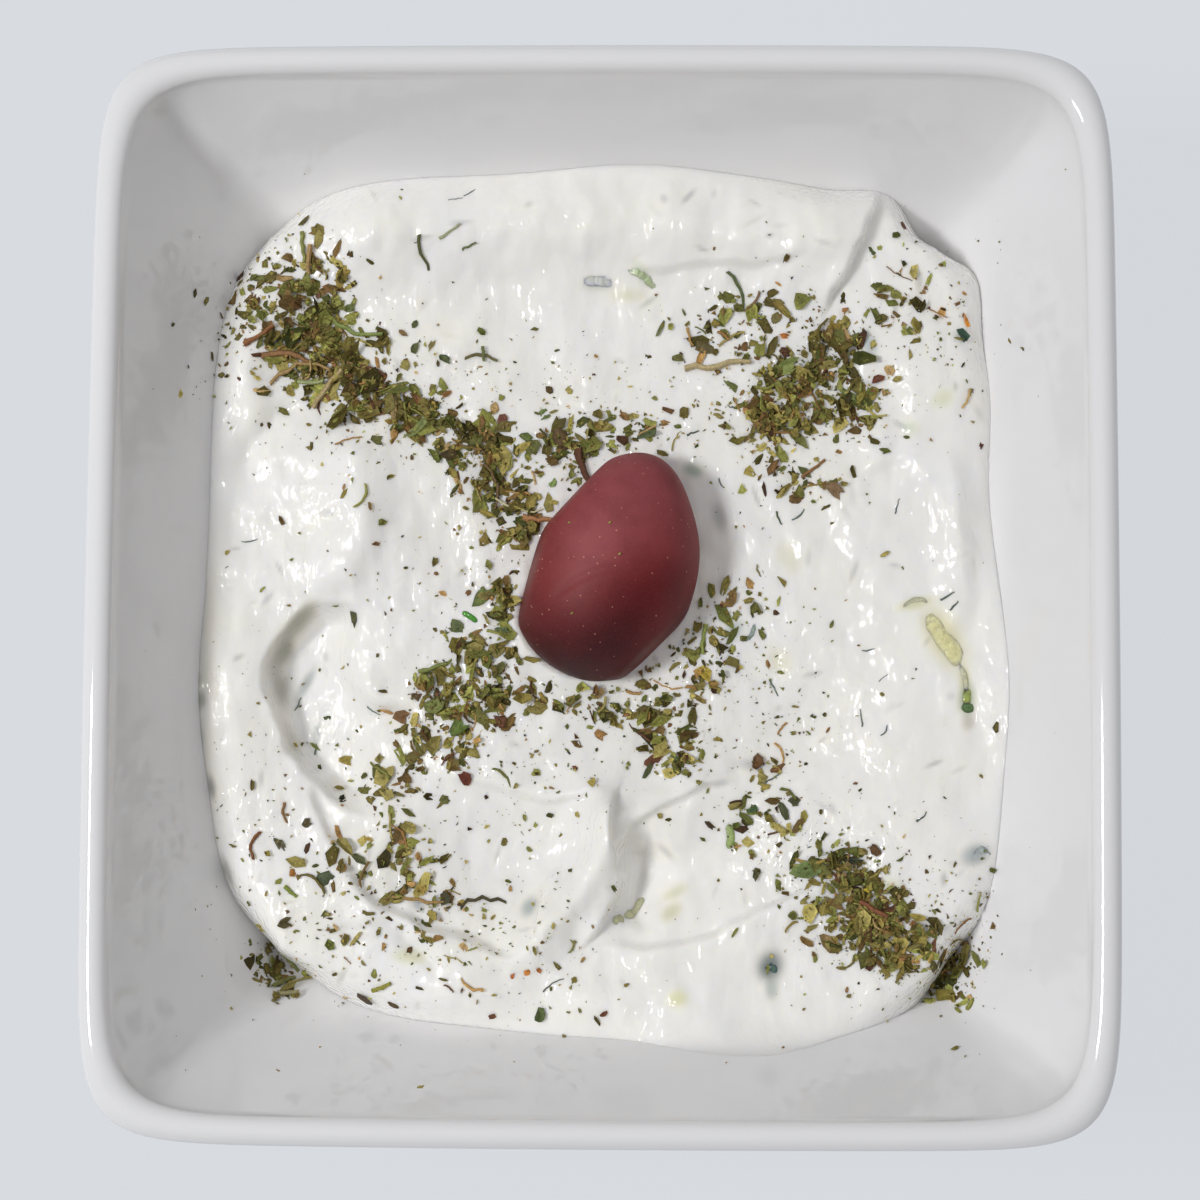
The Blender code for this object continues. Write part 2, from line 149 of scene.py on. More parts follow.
# Folds: height, rise, reach, points; left of the way the points run, the surface is lifted by the height
# within the rise and settles again over the reach
FOLDS = (
    # the hollow that a spoon left, its lower lobe and the furrow that runs on from it
    (-3.9, 2.3, 16.0, ((-23.5, -1.2), (-26.2, -0.3), (-28.3, -0.1), (-30.6, -0.1), (-32.6, -1.9),
                       (-34.6, -4.0), (-35.7, -6.4), (-35.9, -8.8), (-34.6, -12.0), (-33.8, -15.5),
                       (-32.4, -17.3), (-30.8, -18.9), (-29.4, -20.7), (-27.9, -21.8), (-26.1, -22.5),
                       (-22.8, -23.0))),
    (-1.0, 0.8, 4.0, ((-31.4, -19.5), (-30.3, -22.6), (-28.6, -25.4), (-25.6, -26.2), (-22.6, -24.8))),
    (1.5, 1.3, 6.0, ((-8, -37.4), (-11.5, -35.9), (-15.5, -34.4), (-19.2, -33.3), (-23, -31.3),
                     (-25.3, -29.2), (-27, -26.4))),
    # the fin between the bowls: its right edge, its left edge, the crest that joins it
    (1.7, 0.5, 3.4, ((-2.5, -37), (-0.4, -35), (0.9, -33.4), (1.5, -31.8), (2.4, -29.4), (1.9, -27),
                     (1.2, -24.4), (1.4, -21), (2.2, -18.5))),
    (0.9, 0.45, 3.0, ((-4.6, -27.6), (-5.8, -29.6), (-6.7, -31.4), (-7.0, -33.4), (-6.6, -36.2))),
    (1.2, 0.7, 3.4, ((1.6, -28), (2.4, -25.8), (4, -23.6), (6.4, -21.8), (9.6, -20.2), (13.5, -18.8))),
    (0.6, 0.7, 4.0, ((-18, -18.4), (-12, -19.8), (-6.5, -21.2), (-2.9, -21.2), (-0.6, -19.6))),
    (1.0, 0.7, 4.5, ((24, -28), (20.7, -30.3), (17.3, -31.7), (14.4, -33), (11.6, -34.6), (8, -35.4),
                     (4.6, -36), (0, -35.6))),
    # the slab at the back: its front edge and the peak at its right end
    (0.6, 0.7, 4.0, ((2, 34.6), (8, 35.4), (13, 35.7), (18, 35.9), (22, 36.6))),
    (1.9, 0.7, 5.5, ((23.6, 30.5), (24.8, 33.2), (26.2, 36), (27.8, 39.4), (29.4, 43.2), (30.8, 48))),
    # curls along the right side
    (0.7, 1.7, 3.0, ((28.2, 12.6), (29.6, 13.9), (31.5, 14.2), (33.2, 12.2), (34.1, 10.0), (34.6, 6.8),
                     (34.8, 3.5))),
    (0.5, 1.8, 2.2, ((35.5, 13.5), (35.8, 10.4), (36.1, 7.4), (36.4, 3.4), (36.6, 0.6))),
    (0.6, 2.4, 2.6, ((33.6, 4.4), (34.2, 1.6), (35.2, -1.2))),
    (0.5, 1.9, 2.6, ((39.8, 2.4), (39.1, -1.4), (38.4, -4.6))),
    (0.5, 1.9, 2.6, ((38.9, -9.4), (39.2, -12.2), (40.1, -16))),
    (0.45, 2.2, 2.6, ((26.6, 1.0), (28.2, 0.2), (29.8, -0.4), (31.0, -2.2), (31.4, -4.8))),
    (0.6, 2.6, 3.2, ((23.2, 11.6), (23.6, 8.4), (24.8, 4.8))),
    (0.5, 2.2, 3.0, ((17.8, 9.0), (18.6, 6.6), (20.2, 3.6))),
    (0.5, 2.0, 2.8, ((27.6, 5.0), (27.0, 2.2), (26.5, -1.0))),
    (0.6, 2.4, 3.4, ((30.8, 23), (31.0, 19.5), (30.8, 16))),
    (0.5, 2.2, 3.0, ((26.8, 20), (26.8, 17), (26.6, 14))),
    (0.45, 1.8, 2.4, ((34.4, -8.2), (35.0, -10.4), (35.8, -12.8))),
    # rucks on the left side and in front
    (0.6, 2.4, 3.2, ((-40.2, 28), (-39.8, 24), (-39.0, 20.4), (-38.8, 16.6))),
    (0.6, 2.2, 3.4, ((-23.2, -32.4), (-21.8, -34.6), (-19.4, -36.4), (-16.8, -39.6))),
    (0.5, 2.0, 2.6, ((-7.4, -20.8), (-4.6, -22.0), (-1.6, -23.4))),
    (0.5, 2.4, 3.4, ((-4.2, 43.6), (-4.0, 41.6), (-3.4, 39))),
    (0.5, 2.4, 3.4, ((12.2, 42), (12.4, 39.8), (12.6, 37.4))),
    (0.5, 2.4, 3.4, ((18.2, 41.4), (18.4, 39), (18.8, 36.6))),
)
CURVE_STEPS = 6
CURVE_FADE = 0.16  # share of a curve over which each end fades out
CURVE_BLEND = 0.5  # where two stretches of a curve are equally near, one takes over within about this
DROP_POWER = 1.3  # how sharply a fold that steps down leaves its edge
SETTLE_POWER = 1.7  # how a fold settles behind its edge
RIDGE_END = 3.0  # widths of a ridge past which it has died away
FOLD_END = 2.2  # reaches of a fold past which it has settled
WARP_SIZE, WARP = 2.4, 0.4  # curves wander in bends of this size by this much, in millimetres
SEED_GAP = 17.3  # how far apart the noises of two seeds lie
EDGE_PULL = 4  # power by which the grid bends to the wall towards its edge
SHOULDER_POWER = 3  # how sharply the top bends to the wall
LUMPS = (  # size, squeeze in y, height, seed
    (7.0, 1.0, 0.5, 1),
    (3.0, 1.0, 0.26, 2),
    (1.5, 0.65, 0.12, 3),
    (0.8, 0.7, 0.04, 4),
)

# Olive
OLIVE_LENGTH = 25.3
OLIVE_WIDTH = 18.0
OLIVE_FULLNESS = (2.4, 2.05)  # of the lower and of the upper half
OLIVE_TAPER = 0.15
OLIVE_CENTRE = Vector((1.13, 3.65, 29.4))
OLIVE_HEADING = 23.6
OLIVE_TILT = 14.0
OLIVE_SHRINK = 0.997
# Flattened places of the olive: azimuth and elevation of the way they face, spread in degrees, depth
OLIVE_FLATS = (
    (45, 8, 26, 0.70),
    (110, 62, 34, 0.60),
)
OLIVE_AROUND, OLIVE_ALONG = 160, 110
# Facets of the olive: azimuth and elevation of the way they face, distance from the centre
OLIVE_FACETS = (
    (314, 2, 8.75),
    (138, 8, 7.6),
    (165, 8, 7.68),
    (278, 0, 11.6),
)
OLIVE_GIVE = 0.5  # the most by which the skin still bulges past a facet
# Painted sheen at the top and upper left, painted dark reflection on the lower right, painted shade on the
# low sides and the lower end: azimuth and elevation of the way they face, spread in degrees, colour, strength
OLIVE_SHEEN_AND_SHADE = (
    (150, 66, 26, "#B06468", 0.55),
    (75, 45, 42, "#985056", 0.65),
    (185, 18, 34, "#702824", 0.60),
    (312, 52, 21, "#62040A", 0.95),
    (335, 38, 20, "#62040A", 0.90),
    (285, 48, 15, "#56030A", 0.90),
    (272, 58, 14, "#6E1016", 0.30),
    (268, 30, 26, "#300A12", 0.85),
    (243, 8, 32, "#1E0409", 0.90),
    (318, 8, 18, "#42161C", 0.60),
)
OLIVE_RIM_SHADE = (24.0, "#3E1216", 0.38)  # painted shade round its waist, darker towards its outline: spread in degrees, colour, strength
# A crease across the skin: plan points from the olive's centre
OLIVE_CREASE = ((-6.5, -4.4), (-3.0, -2.2), (1.2, -1.0), (4.6, -0.9))
OLIVE_CREASE_DEPTH = 0.22
OLIVE_CREASE_WIDTH = 0.38
DOT_STRENGTH = 0.65


# Shared helpers ---------------------------------------------------------------------------------------------

def linear(hex_colour):
    """An sRGB hex colour as linear RGBA."""
    digits = hex_colour.lstrip("#")
    values = [int(digits[i:i + 2], 16) / 255.0 for i in (0, 2, 4)]
    return [v / 12.92 if v <= 0.04045 else ((v + 0.055) / 1.055) ** 2.4 for v in values] + [1.0]


def rgb(hex_colour):
    """An sRGB hex colour as linear RGB, to reckon with."""
    return np.array(linear(hex_colour)[:3])


def set_inputs(node, **values):
    """Give sockets of a node their values; an underscore stands for a space in a socket's name."""
    for name, value in values.items():
        node.inputs[name.replace("_", " ")].default_value = value


def add_node(tree, kind, links=(), **settings):
    """Add a node; settings are attributes or input values, links are (input, socket) pairs."""
    node = tree.nodes.new(kind)
    for name, value in settings.items():
        if hasattr(node, name):
            setattr(node, name, value)
        else:
            set_inputs(node, **{name: value})
    for name, socket in links:
        tree.links.new(socket, node.inputs[name])
    return node


def new_material(name):
    """A material, its node tree and its shader."""
    surface = bpy.data.materials.new(name)
    surface.use_nodes = True
    return surface, surface.node_tree, surface.node_tree.nodes["Principled BSDF"]


def add_piece(name, mesh, surface, replaced=None, crisp=None):
    """Make a mesh a piece that rides on the root body, with edges past an angle in degrees kept crisp."""
    mesh.shade_smooth()
    if crisp:
        mesh.set_sharp_from_angle(angle=math.radians(crisp))
    mesh.materials.append(surface)
    piece = bpy.data.objects.new(name, mesh)
    bpy.context.scene.collection.objects.link(piece)
    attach(piece, "root")
    if replaced:
        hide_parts(replaced)
    return piece


def finish_piece(name, bm, surface, replaced):
    """Turn a bmesh in millimetres into the piece that replaces a node."""
    bmesh.ops.recalc_face_normals(bm, faces=bm.faces)
    bmesh.ops.scale(bm, vec=(MM, MM, MM), verts=bm.verts)
    mesh = bpy.data.meshes.new(name)
    bm.to_mesh(mesh)
    bm.free()
    return add_piece(name, mesh, surface, replaced)


def paint(mesh, colours):
    """Give each vertex a colour, under the name that the materials look for."""
    tint = mesh.attributes.new("tint", "FLOAT_COLOR", "POINT")
    opaque = np.column_stack([np.clip(colours, 0.0, 1.0), np.ones(len(colours))])
    tint.data.foreach_set("color", opaque.ravel())


# Outline shared by dish and dip -----------------------------------------------------------------------------

def outer_inset(height):
    """How far the outside of the wall stands inside the rim."""
    return (LIP_HEIGHT - height) * WALL_LEAN


def inner_inset(height):
    """How far the inside of the wall stands inside the rim."""
    return LIP_WIDTH + outer_inset(height)


def inner_squareness(height):
    """Squareness of the inside: its corners are rounder at the lip than at the creases below."""
    share = np.clip((LIP_HEIGHT - height) / CREASE_DEPTH, 0.0, 1.0)
    return RIM_SQUARENESS + (CREASE_SQUARENESS - RIM_SQUARENESS) * share


def wall_point(s, t, inset, squareness):
    """Plan position on the rounded square that stands inset inside the rim, from the plain square's edge."""
    pull = (np.abs(s) ** squareness + np.abs(t) ** squareness) ** (-1.0 / squareness)
    s, t = s * pull, t * pull
    half_x = DISH_WIDTH / 2 - inset
    half_y = DISH_LENGTH / 2 - inset
    return half_x * s * (1.0 - SIDE_BOW * t * t), half_y * t * (1.0 - SIDE_BOW * s * s)


def square_edge(per_side):
    """Points round the edge of the square, closer together towards its corners."""
    points = []
    for quarter in range(4):
        for step in range(per_side):
            s, t = 1.0, math.sin((step / per_side - 0.5) * math.pi)
            for _ in range(quarter):
                s, t = -t, s
            points.append((s, t))
    return points


def arc(centre_inset, centre_height, radius, start, end, steps):
    """(inset, height) along an arc; 0 degrees points inwards and 90 up."""
    points = []
    for step in range(steps + 1):
        angle = math.radians(start + (end - start) * step / steps)
        points.append((centre_inset + radius * math.cos(angle), centre_height + radius * math.sin(angle)))
    return points


def ring_edges(bm, positions):
    """Edges of a closed ring of new vertices."""
    verts = [bm.verts.new(p) for p in positions]
    return [bm.edges.new((a, b)) for a, b in zip(verts, verts[1:] + verts[:1])]


# Dish -------------------------------------------------------------------------------------------------------

def dish_profile():
    """(inset, height, squareness) of each ring, from under the dish over its lip to its floor."""
    foot_outer = outer_inset(FOOT_HEIGHT) + FOOT_ROUND
    foot_inner = foot_outer + FOOT_WIDTH
    foot = [(foot_inner + RECESS_DEPTH * 2, RECESS_DEPTH), (foot_inner + RECESS_DEPTH, RECESS_DEPTH)]
    foot += arc(foot_inner - FOOT_ROUND, FOOT_ROUND, FOOT_ROUND, 0.0, -90.0, FOOT_STEPS)
    foot += arc(foot_outer + FOOT_ROUND, FOOT_ROUND, FOOT_ROUND, 270.0, 180.0, FOOT_STEPS)
    foot += [(foot_outer, FOOT_HEIGHT - FOOT_ROUND), (outer_inset(FOOT_HEIGHT), FOOT_HEIGHT)]
    rings = [(inset, height, FOOT_SQUARENESS) for inset, height in foot]
    for step in range(1, SIDE_STEPS):
        share = step / SIDE_STEPS
        height = FOOT_HEIGHT + (LIP_HEIGHT - FOOT_HEIGHT) * share
        squareness = FOOT_SQUARENESS + (RIM_SQUARENESS - FOOT_SQUARENESS) * share
        rings.append((outer_inset(height), height, squareness))
    lip = arc(LIP_RADIUS, LIP_HEIGHT, LIP_RADIUS, 180.0, 0.0, LIP_STEPS)
    rings += [(inset, height, RIM_SQUARENESS) for inset, height in lip]
    for step in range(1, SIDE_STEPS + 1):
        height = LIP_HEIGHT - CREASE_DEPTH * step / SIDE_STEPS
        rings.append((inner_inset(height), height, inner_squareness(height)))
    lower = LIP_HEIGHT - CREASE_DEPTH - FLOOR_HEIGHT - FLOOR_FILLET
    for step in range(1, LOWER_STEPS):
        height = LIP_HEIGHT - CREASE_DEPTH - lower * step / LOWER_STEPS
        rings.append((inner_inset(height), height, CREASE_SQUARENESS))
    lean = math.degrees(math.atan(WALL_LEAN))
    centre_height = FLOOR_HEIGHT + FLOOR_FILLET
    centre_inset = inner_inset(centre_height) + FLOOR_FILLET * math.hypot(1.0, WALL_LEAN)
    fillet = arc(centre_inset, centre_height, FLOOR_FILLET, 180.0 + lean, 270.0, FILLET_STEPS)
    rings += [(inset, height, CREASE_SQUARENESS) for inset, height in fillet]
    return rings


def porcelain():
    """Glazed porcelain: bright white body under a clear, slightly wavy glaze."""
    surface, tree, shader = new_material("glazed_porcelain")
    settings = bpy.context.scene.tz_dish
    place = add_node(tree, "ShaderNodeTexCoord").outputs["Object"]
    # the glaze waves about once in 11 mm
    wave = add_node(tree, "ShaderNodeTexNoise", [("Vector", place)], Scale=0.09 / MM, Detail=2.0)
    bump = add_node(tree, "ShaderNodeBump", [("Height", wave.outputs["Fac"])], Strength=0.05,
                    Distance=0.4 * MM)
    tree.links.new(bump.outputs["Normal"], shader.inputs["Normal"])
    set_inputs(shader, Base_Color=linear(settings.glaze_colour), Roughness=settings.glaze_roughness, IOR=1.5)
    return surface


class DishSettings(bpy.types.PropertyGroup):
    glaze_colour: StringProperty(name="Glaze colour", description="sRGB hex colour of the glazed body",
                                 default="#ECECEE")
    glaze_roughness: FloatProperty(name="Glaze roughness", description="Roughness of the clear glaze",
                                   default=0.05, min=0.0, max=1.0)


class TZ_OT_dish(bpy.types.Operator):
    """Make the porcelain dish"""
    bl_idname = "tz.dish"
    bl_label = "Dish"

    def execute(self, context):
        bm = bmesh.new()
        around = square_edge(DISH_PER_SIDE)
        loops = []
        for inset, height, squareness in dish_profile():
            loops.append(ring_edges(bm, [(*wall_point(s, t, inset, squareness), height) for s, t in around]))
        for lower, upper in zip(loops, loops[1:]):
            bmesh.ops.bridge_loops(bm, edges=lower + upper)
        for loop in (loops[0], loops[-1]):
            bmesh.ops.contextual_create(bm, geom=loop)
        finish_piece("dish_porcelain", bm, porcelain(), "dish")
        return {"FINISHED"}


# Dip --------------------------------------------------------------------------------------------------------

def curve_through(points):
    """A Catmull-Rom curve through plan points."""
    knots = [np.array(p, float) for p in points]
    knots = [2 * knots[0] - knots[1], *knots, 2 * knots[-1] - knots[-2]]
    curve = []
    for a, b, c, d in zip(knots, knots[1:], knots[2:], knots[3:]):
        for step in range(CURVE_STEPS):
            u = step / CURVE_STEPS
            curve.append(b + (c - a) * u / 2 + (2 * a - 5 * b + 4 * c - d) * u ** 2 / 2
                         + (3 * b - a - 3 * c + d) * u ** 3 / 2)
    curve.append(knots[-2])
    return curve


def smooth(value):
    """A soft step from 0 to 1."""
    value = np.clip(value, 0.0, 1.0)
    return value * value * (3.0 - 2.0 * value)


def turned(east, north, turn):
    """An offset in plan, as seen along and across a direction in degrees."""
    angle = math.radians(turn)
    along = east * math.cos(angle) + north * math.sin(angle)
    return along, north * math.cos(angle) - east * math.sin(angle)


def mound(x, y, centre_x, centre_y, radius_x, radius_y, turn, height):
    """A soft oval rise."""
    u, v = turned(x - centre_x, y - centre_y, turn)
    return height * np.exp(-(u / radius_x) ** 2 - (v / radius_y) ** 2)


def from_curve(x, y, points):
    """Distance to a curve, positive to the left of the way it runs, and how much its ends have faded."""
    curve = curve_through(points)
    nearest = np.full(x.shape, np.inf)
    side, fade, total = np.zeros((3, *x.shape))
    for index, (start, end) in enumerate(zip(curve, curve[1:])):
        run = end - start
        east, north = x - start[0], y - start[1]
        part = np.clip((east * run[0] + north * run[1]) / (run @ run), 0.0, 1.0)
        east, north = east - part * run[0], north - part * run[1]
        distance = np.hypot(east, north)
        closer = distance < nearest
        nearest = np.where(closer, distance, nearest)
        side = np.where(closer, run[0] * north - run[1] * east, side)
        share = (index + part) / (len(curve) - 1)
        weight = np.exp(-distance / CURVE_BLEND)
        fade += weight * smooth(np.minimum(share, 1.0 - share) / CURVE_FADE)
        total += weight
    return np.where(side > 0.0, nearest, -nearest), fade / total


def near(x, y, points, reach):
    """Which of the plan positions lie within reach of the points' box."""
    low, high = np.min(points, axis=0) - reach, np.max(points, axis=0) + reach
    return (x > low[0]) & (x < high[0]) & (y > low[1]) & (y < high[1])


def ridge(x, y, height, left, right, points):
    """A crest along a curve, with its own width on each side."""
    rise = np.zeros(x.shape)
    part = near(x, y, points, RIDGE_END * max(left, right))
    distance, fade = from_curve(x[part], y[part], points)
    rise[part] = height * fade * np.exp(-(distance / np.where(distance > 0.0, left, right)) ** 2)
    return rise


def fold(x, y, height, rise, reach, points):
    """The edge where the surface steps up, and the slow fall behind it."""
    lift = np.zeros(x.shape)
    part = near(x, y, points, FOLD_END * reach)
    distance, fade = from_curve(x[part], y[part], points)
    distance = np.maximum(distance, 0.0)
    if height > 0.0:
        step = smooth(distance / rise)
    else:
        step = 1.0 - (1.0 - np.clip(distance / rise, 0.0, 1.0)) ** DROP_POWER
    lift[part] = height * fade * step * np.exp(-(distance / reach) ** SETTLE_POWER)
    return lift


def lumps(x, y, size, height, seed):
    """Rounded noise of about one size in millimetres."""
    return height * np.array([noise.noise((a / size, b / size, seed * SEED_GAP)) for a, b in zip(x, y)])


def top_height(x, y):
    """Height of the dip's top, away from the wall."""
    height = DIP_LEVEL + sum(mound(x, y, *values) for values in MOUNDS)
    warped = x + lumps(x, y, WARP_SIZE, WARP, 5), y + lumps(x, y, WARP_SIZE, WARP, 6)
    for values in RIDGES:
        height = height + ridge(*warped, *values)
    for values in FOLDS:
        height = height + fold(*warped, *values)
    for size, squeeze, rise, seed in LUMPS:
        height = height + lumps(x, y * squeeze, size, rise, seed)
    return height


def wall_height(x, y):
    """Height at which the dip's side, just inside the wall, passes through points of the plan."""
    low = np.full(x.shape, FLOOR_HEIGHT + FLOOR_FILLET)
    high = np.full(x.shape, LIP_HEIGHT)
    for _ in range(24):  # halvings, far past a micrometre
        height = (low + high) / 2
        squareness = inner_squareness(height)
        inset = inner_inset(height) - DIP_INTO_WALL
        s, t = np.abs(x) / (DISH_WIDTH / 2 - inset), np.abs(y) / (DISH_LENGTH / 2 - inset)
        s, t = s / (1.0 - SIDE_BOW * t * t), t / (1.0 - SIDE_BOW * s * s)
        outside = s ** squareness + t ** squareness > 1.0
        low = np.where(outside, height, low)
        high = np.where(outside, high, height)
    return low


def edge_points(s, t):
    """Where the dip meets the wall, for points on the square's edge."""
    squareness = np.select([(s <= 0) & (t > 0), (s > 0) & (t > 0), (s <= 0) & (t <= 0)],
                           [DIP_SQUARENESS[(-1, 1)], DIP_SQUARENESS[(1, 1)], DIP_SQUARENESS[(-1, -1)]],
                           DIP_SQUARENESS[(1, -1)])
    x, y = wall_point(s, t, inner_inset(DIP_LEVEL) - DIP_INTO_WALL, squareness)
    swell = sum(rise * np.exp(-((x - swell_x) ** 2 + (y - swell_y) ** 2) / reach ** 2)
                for swell_x, swell_y, reach, rise in EDGE_SWELLS)
    grow = 1.0 + swell / np.hypot(x, y)
    return x * grow, y * grow, wall_height(x * grow, y * grow)


def dip_points(s, t):
    """Positions of the grid points (s, t) on the dip's top."""
    reach = np.maximum(np.maximum(np.abs(s), np.abs(t)), 1e-6)
    edge_x, edge_y, edge_z = edge_points(s / reach, t / reach)
    level_inset = inner_inset(DIP_LEVEL)
    pull = reach ** EDGE_PULL
    x = s * (DISH_WIDTH / 2 - level_inset) * (1.0 - pull) + edge_x * reach * pull
    y = t * (DISH_LENGTH / 2 - level_inset) * (1.0 - pull) + edge_y * reach * pull
    shoulder = np.clip((reach - 1.0) / DIP_SHOULDER + 1.0, 0.0, 1.0)
    z = top_height(x, y)
    return np.stack([x, y, z + (edge_z - z) * shoulder ** SHOULDER_POWER], axis=1)


# What shows through the yogurt's skin, and painted shade in the spoon hollow and along the left edge: x, y,
# length, width, turn in degrees, sRGB colour, strength
SEEN_THROUGH_AND_SHADE = (
    (17.6, -38.2, 3.2, 2.7, 70, "#3A5550", 0.8),
    (17.8, -40.6, 2.2, 1.4, 90, "#8FA5A0", 0.5),
    (8.0, -41.6, 2.0, 1.8, 0, "#D6D98E", 0.55),
    (7.3, -32.6, 2.4, 1.5, 40, "#D0D2A6", 0.6),
    (-7.6, -32.2, 2.2, 1.6, 60, "#8FA3A6", 0.65),
    (3.8, 35.3, 2.6, 1.2, -50, "#B9CDAE", 0.5),
    (-0.8, 33.9, 3.4, 1.5, 0, "#C9CFC4", 0.6),
    (2.4, 32.8, 3.6, 1.4, 0, "#DCDFC0", 0.5),
    (39.0, -26.5, 3.2, 2.2, 20, "#8C9CA0", 0.7),
    (30.5, -30.0, 2.6, 1.6, -30, "#D9DBA4", 0.5),
    (28.0, 27.6, 1.8, 3.0, 20, "#9FB0B4", 0.6),
    (35.8, 21.6, 2.4, 1.8, 30, "#DDE2BC", 0.55),
    (32.4, 18.4, 1.8, 1.8, 0, "#D2DEC2", 0.5),
    (12.2, 9.0, 1.4, 3.2, 10, "#A9B3B8", 0.5),
    (9.4, 14.0, 2.2, 1.4, -20, "#7FA08C", 0.6),
    (19.6, 4.6, 3.4, 2.2, -60, "#E3E4CC", 0.6),
    (18.6, -6.2, 3.0, 2.0, -50, "#E2E4C8", 0.6),
    (-20.0, -37.4, 3.4, 1.6, -5, "#DEDDA8", 0.55),
    (-31.8, -8.6, 3.8, 1.1, 62, "#8C9A96", 0.6),
    (-30.6, -14.0, 3.0, 0.9, 80, "#96A2A0", 0.6),
    (7.6, -30.6, 2.8, 1.2, 30, "#CBD0A8", 0.5),
    (16.2, -17.2, 4.6, 1.4, -5, "#A6B2BE", 0.5),
    (13.8, -3.0, 2.4, 1.6, 60, "#93ABA0", 0.6),
    (-19.2, -32.0, 1.8, 1.2, -40, "#98A4AC", 0.6),
    (35.9, -3.9, 7.0, 3.4, -60, "#E6E2B4", 0.9),
    (38.0, -8.2, 3.0, 1.1, -85, "#E2DFA8", 0.8),
    (38.2, -10.2, 3.2, 1.7, 88, "#A4B680", 0.8),
    (32.7, -0.2, 3.8, 1.2, 15, "#E4E4B8", 0.8),
    (38.4, -12.6, 2.0, 1.4, 80, "#A8A492", 0.5),
    # painted shade on the spoon hollow's steep wall, darkening its olive-grey tint
    (-32.3, -2.1, 4.8, 1.7, 48, "#94957A", 0.7),
    (-34.2, -5.4, 4.4, 1.6, 66, "#8C8E76", 0.75),
    (-34.4, -9.2, 4.8, 1.4, 105, "#9A9B88", 0.7),
    # painted shade along the dip's left edge where it meets the shaded wall, darkest in spots at the crevice
    (-42.4, -9.0, 26.0, 2.6, 90, "#B4B4AC", 0.6),
    (-42.9, -8.5, 1.6, 1.0, 90, "#6C7664", 0.6),
    (-42.4, -10.7, 1.8, 1.2, 90, "#6C7868", 0.6),
    (-42.7, -14.9, 2.0, 0.9, 80, "#767C74", 0.7),
    (-41.3, -19.8, 2.6, 1.0, 100, "#7C827E", 0.7),
    (-39.7, -28.7, 3.4, 1.2, 110, "#6C7464", 0.6),
    # painted shade on the lower part of the spoon hollow's wall
    (-33.0, -14.6, 5.0, 1.0, 115, "#B0B0A2", 0.5),
)
OVAL_POWER = 1.4  # how sharply an oval ends
OVAL_END = 1.5  # lengths of an oval past which it has faded
# Streaks: share of the dish that they spread over, length, width, strength
STREAK_SPREAD, STREAK_LENGTH, STREAK_WIDTH, STREAK_STRENGTH = 0.39, (0.8, 2.6), (0.35, 0.8), (0.1, 0.5)
# Clouds in the yogurt's colour: size, strength, seed
WARM_CLOUDS = ((9.0, 0.022, 11), (4.0, 0.012, 12))
COOL_CLOUDS = (5.0, 0.022, 13)
STREAK_COLOURS = ("#8E9AA4", "#9CA8AE", "#7E8C8E", "#A9B2BC", "#93A29A")


def tint_oval(x, y, tint, place_x, place_y, length, width, turn, colour, strength):
    """Blend a soft-edged oval of a colour into the tint of the points under it."""
    part = np.hypot(x - place_x, y - place_y) < OVAL_END * max(length, width)
    u, v = turned(x[part] - place_x, y[part] - place_y, turn)
    u, v = u / length * 2, v / width * 2
    cover = (strength * np.exp(-(u * u + v * v) ** OVAL_POWER))[:, None]
    tint[part] = tint[part] * (1.0 - cover) + rgb(colour) * cover


def dip_tint(x, y, colour):
    """Colour of the yogurt: warm and cool clouds, dill and cucumber showing through its skin, and painted
    shade in the spoon hollow and along its left edge.
    """
    rng = np.random.default_rng(SEED + 9)
    warm = sum(lumps(x, y, *values) for values in WARM_CLOUDS)
    cool = lumps(x, y, *COOL_CLOUDS)
    clouds = np.stack([1.0 + warm - cool, 1.0 - cool * 0.4, 1.0 - 1.6 * warm + cool * 0.4], axis=1)
    tint = rgb(colour) * clouds
    for _ in range(bpy.context.scene.tz_dip.streaks):
        place = rng.uniform(-1.0, 1.0, 2) * (DISH_WIDTH * STREAK_SPREAD, DISH_LENGTH * STREAK_SPREAD)
        length = rng.uniform(*STREAK_LENGTH)
        tint_oval(x, y, tint, *place, length, rng.uniform(*STREAK_WIDTH), rng.uniform(0.0, 180.0),
              STREAK_COLOURS[rng.integers(len(STREAK_COLOURS))], rng.uniform(*STREAK_STRENGTH))
    for values in SEEN_THROUGH_AND_SHADE:
        tint_oval(x, y, tint, *values)
    return tint


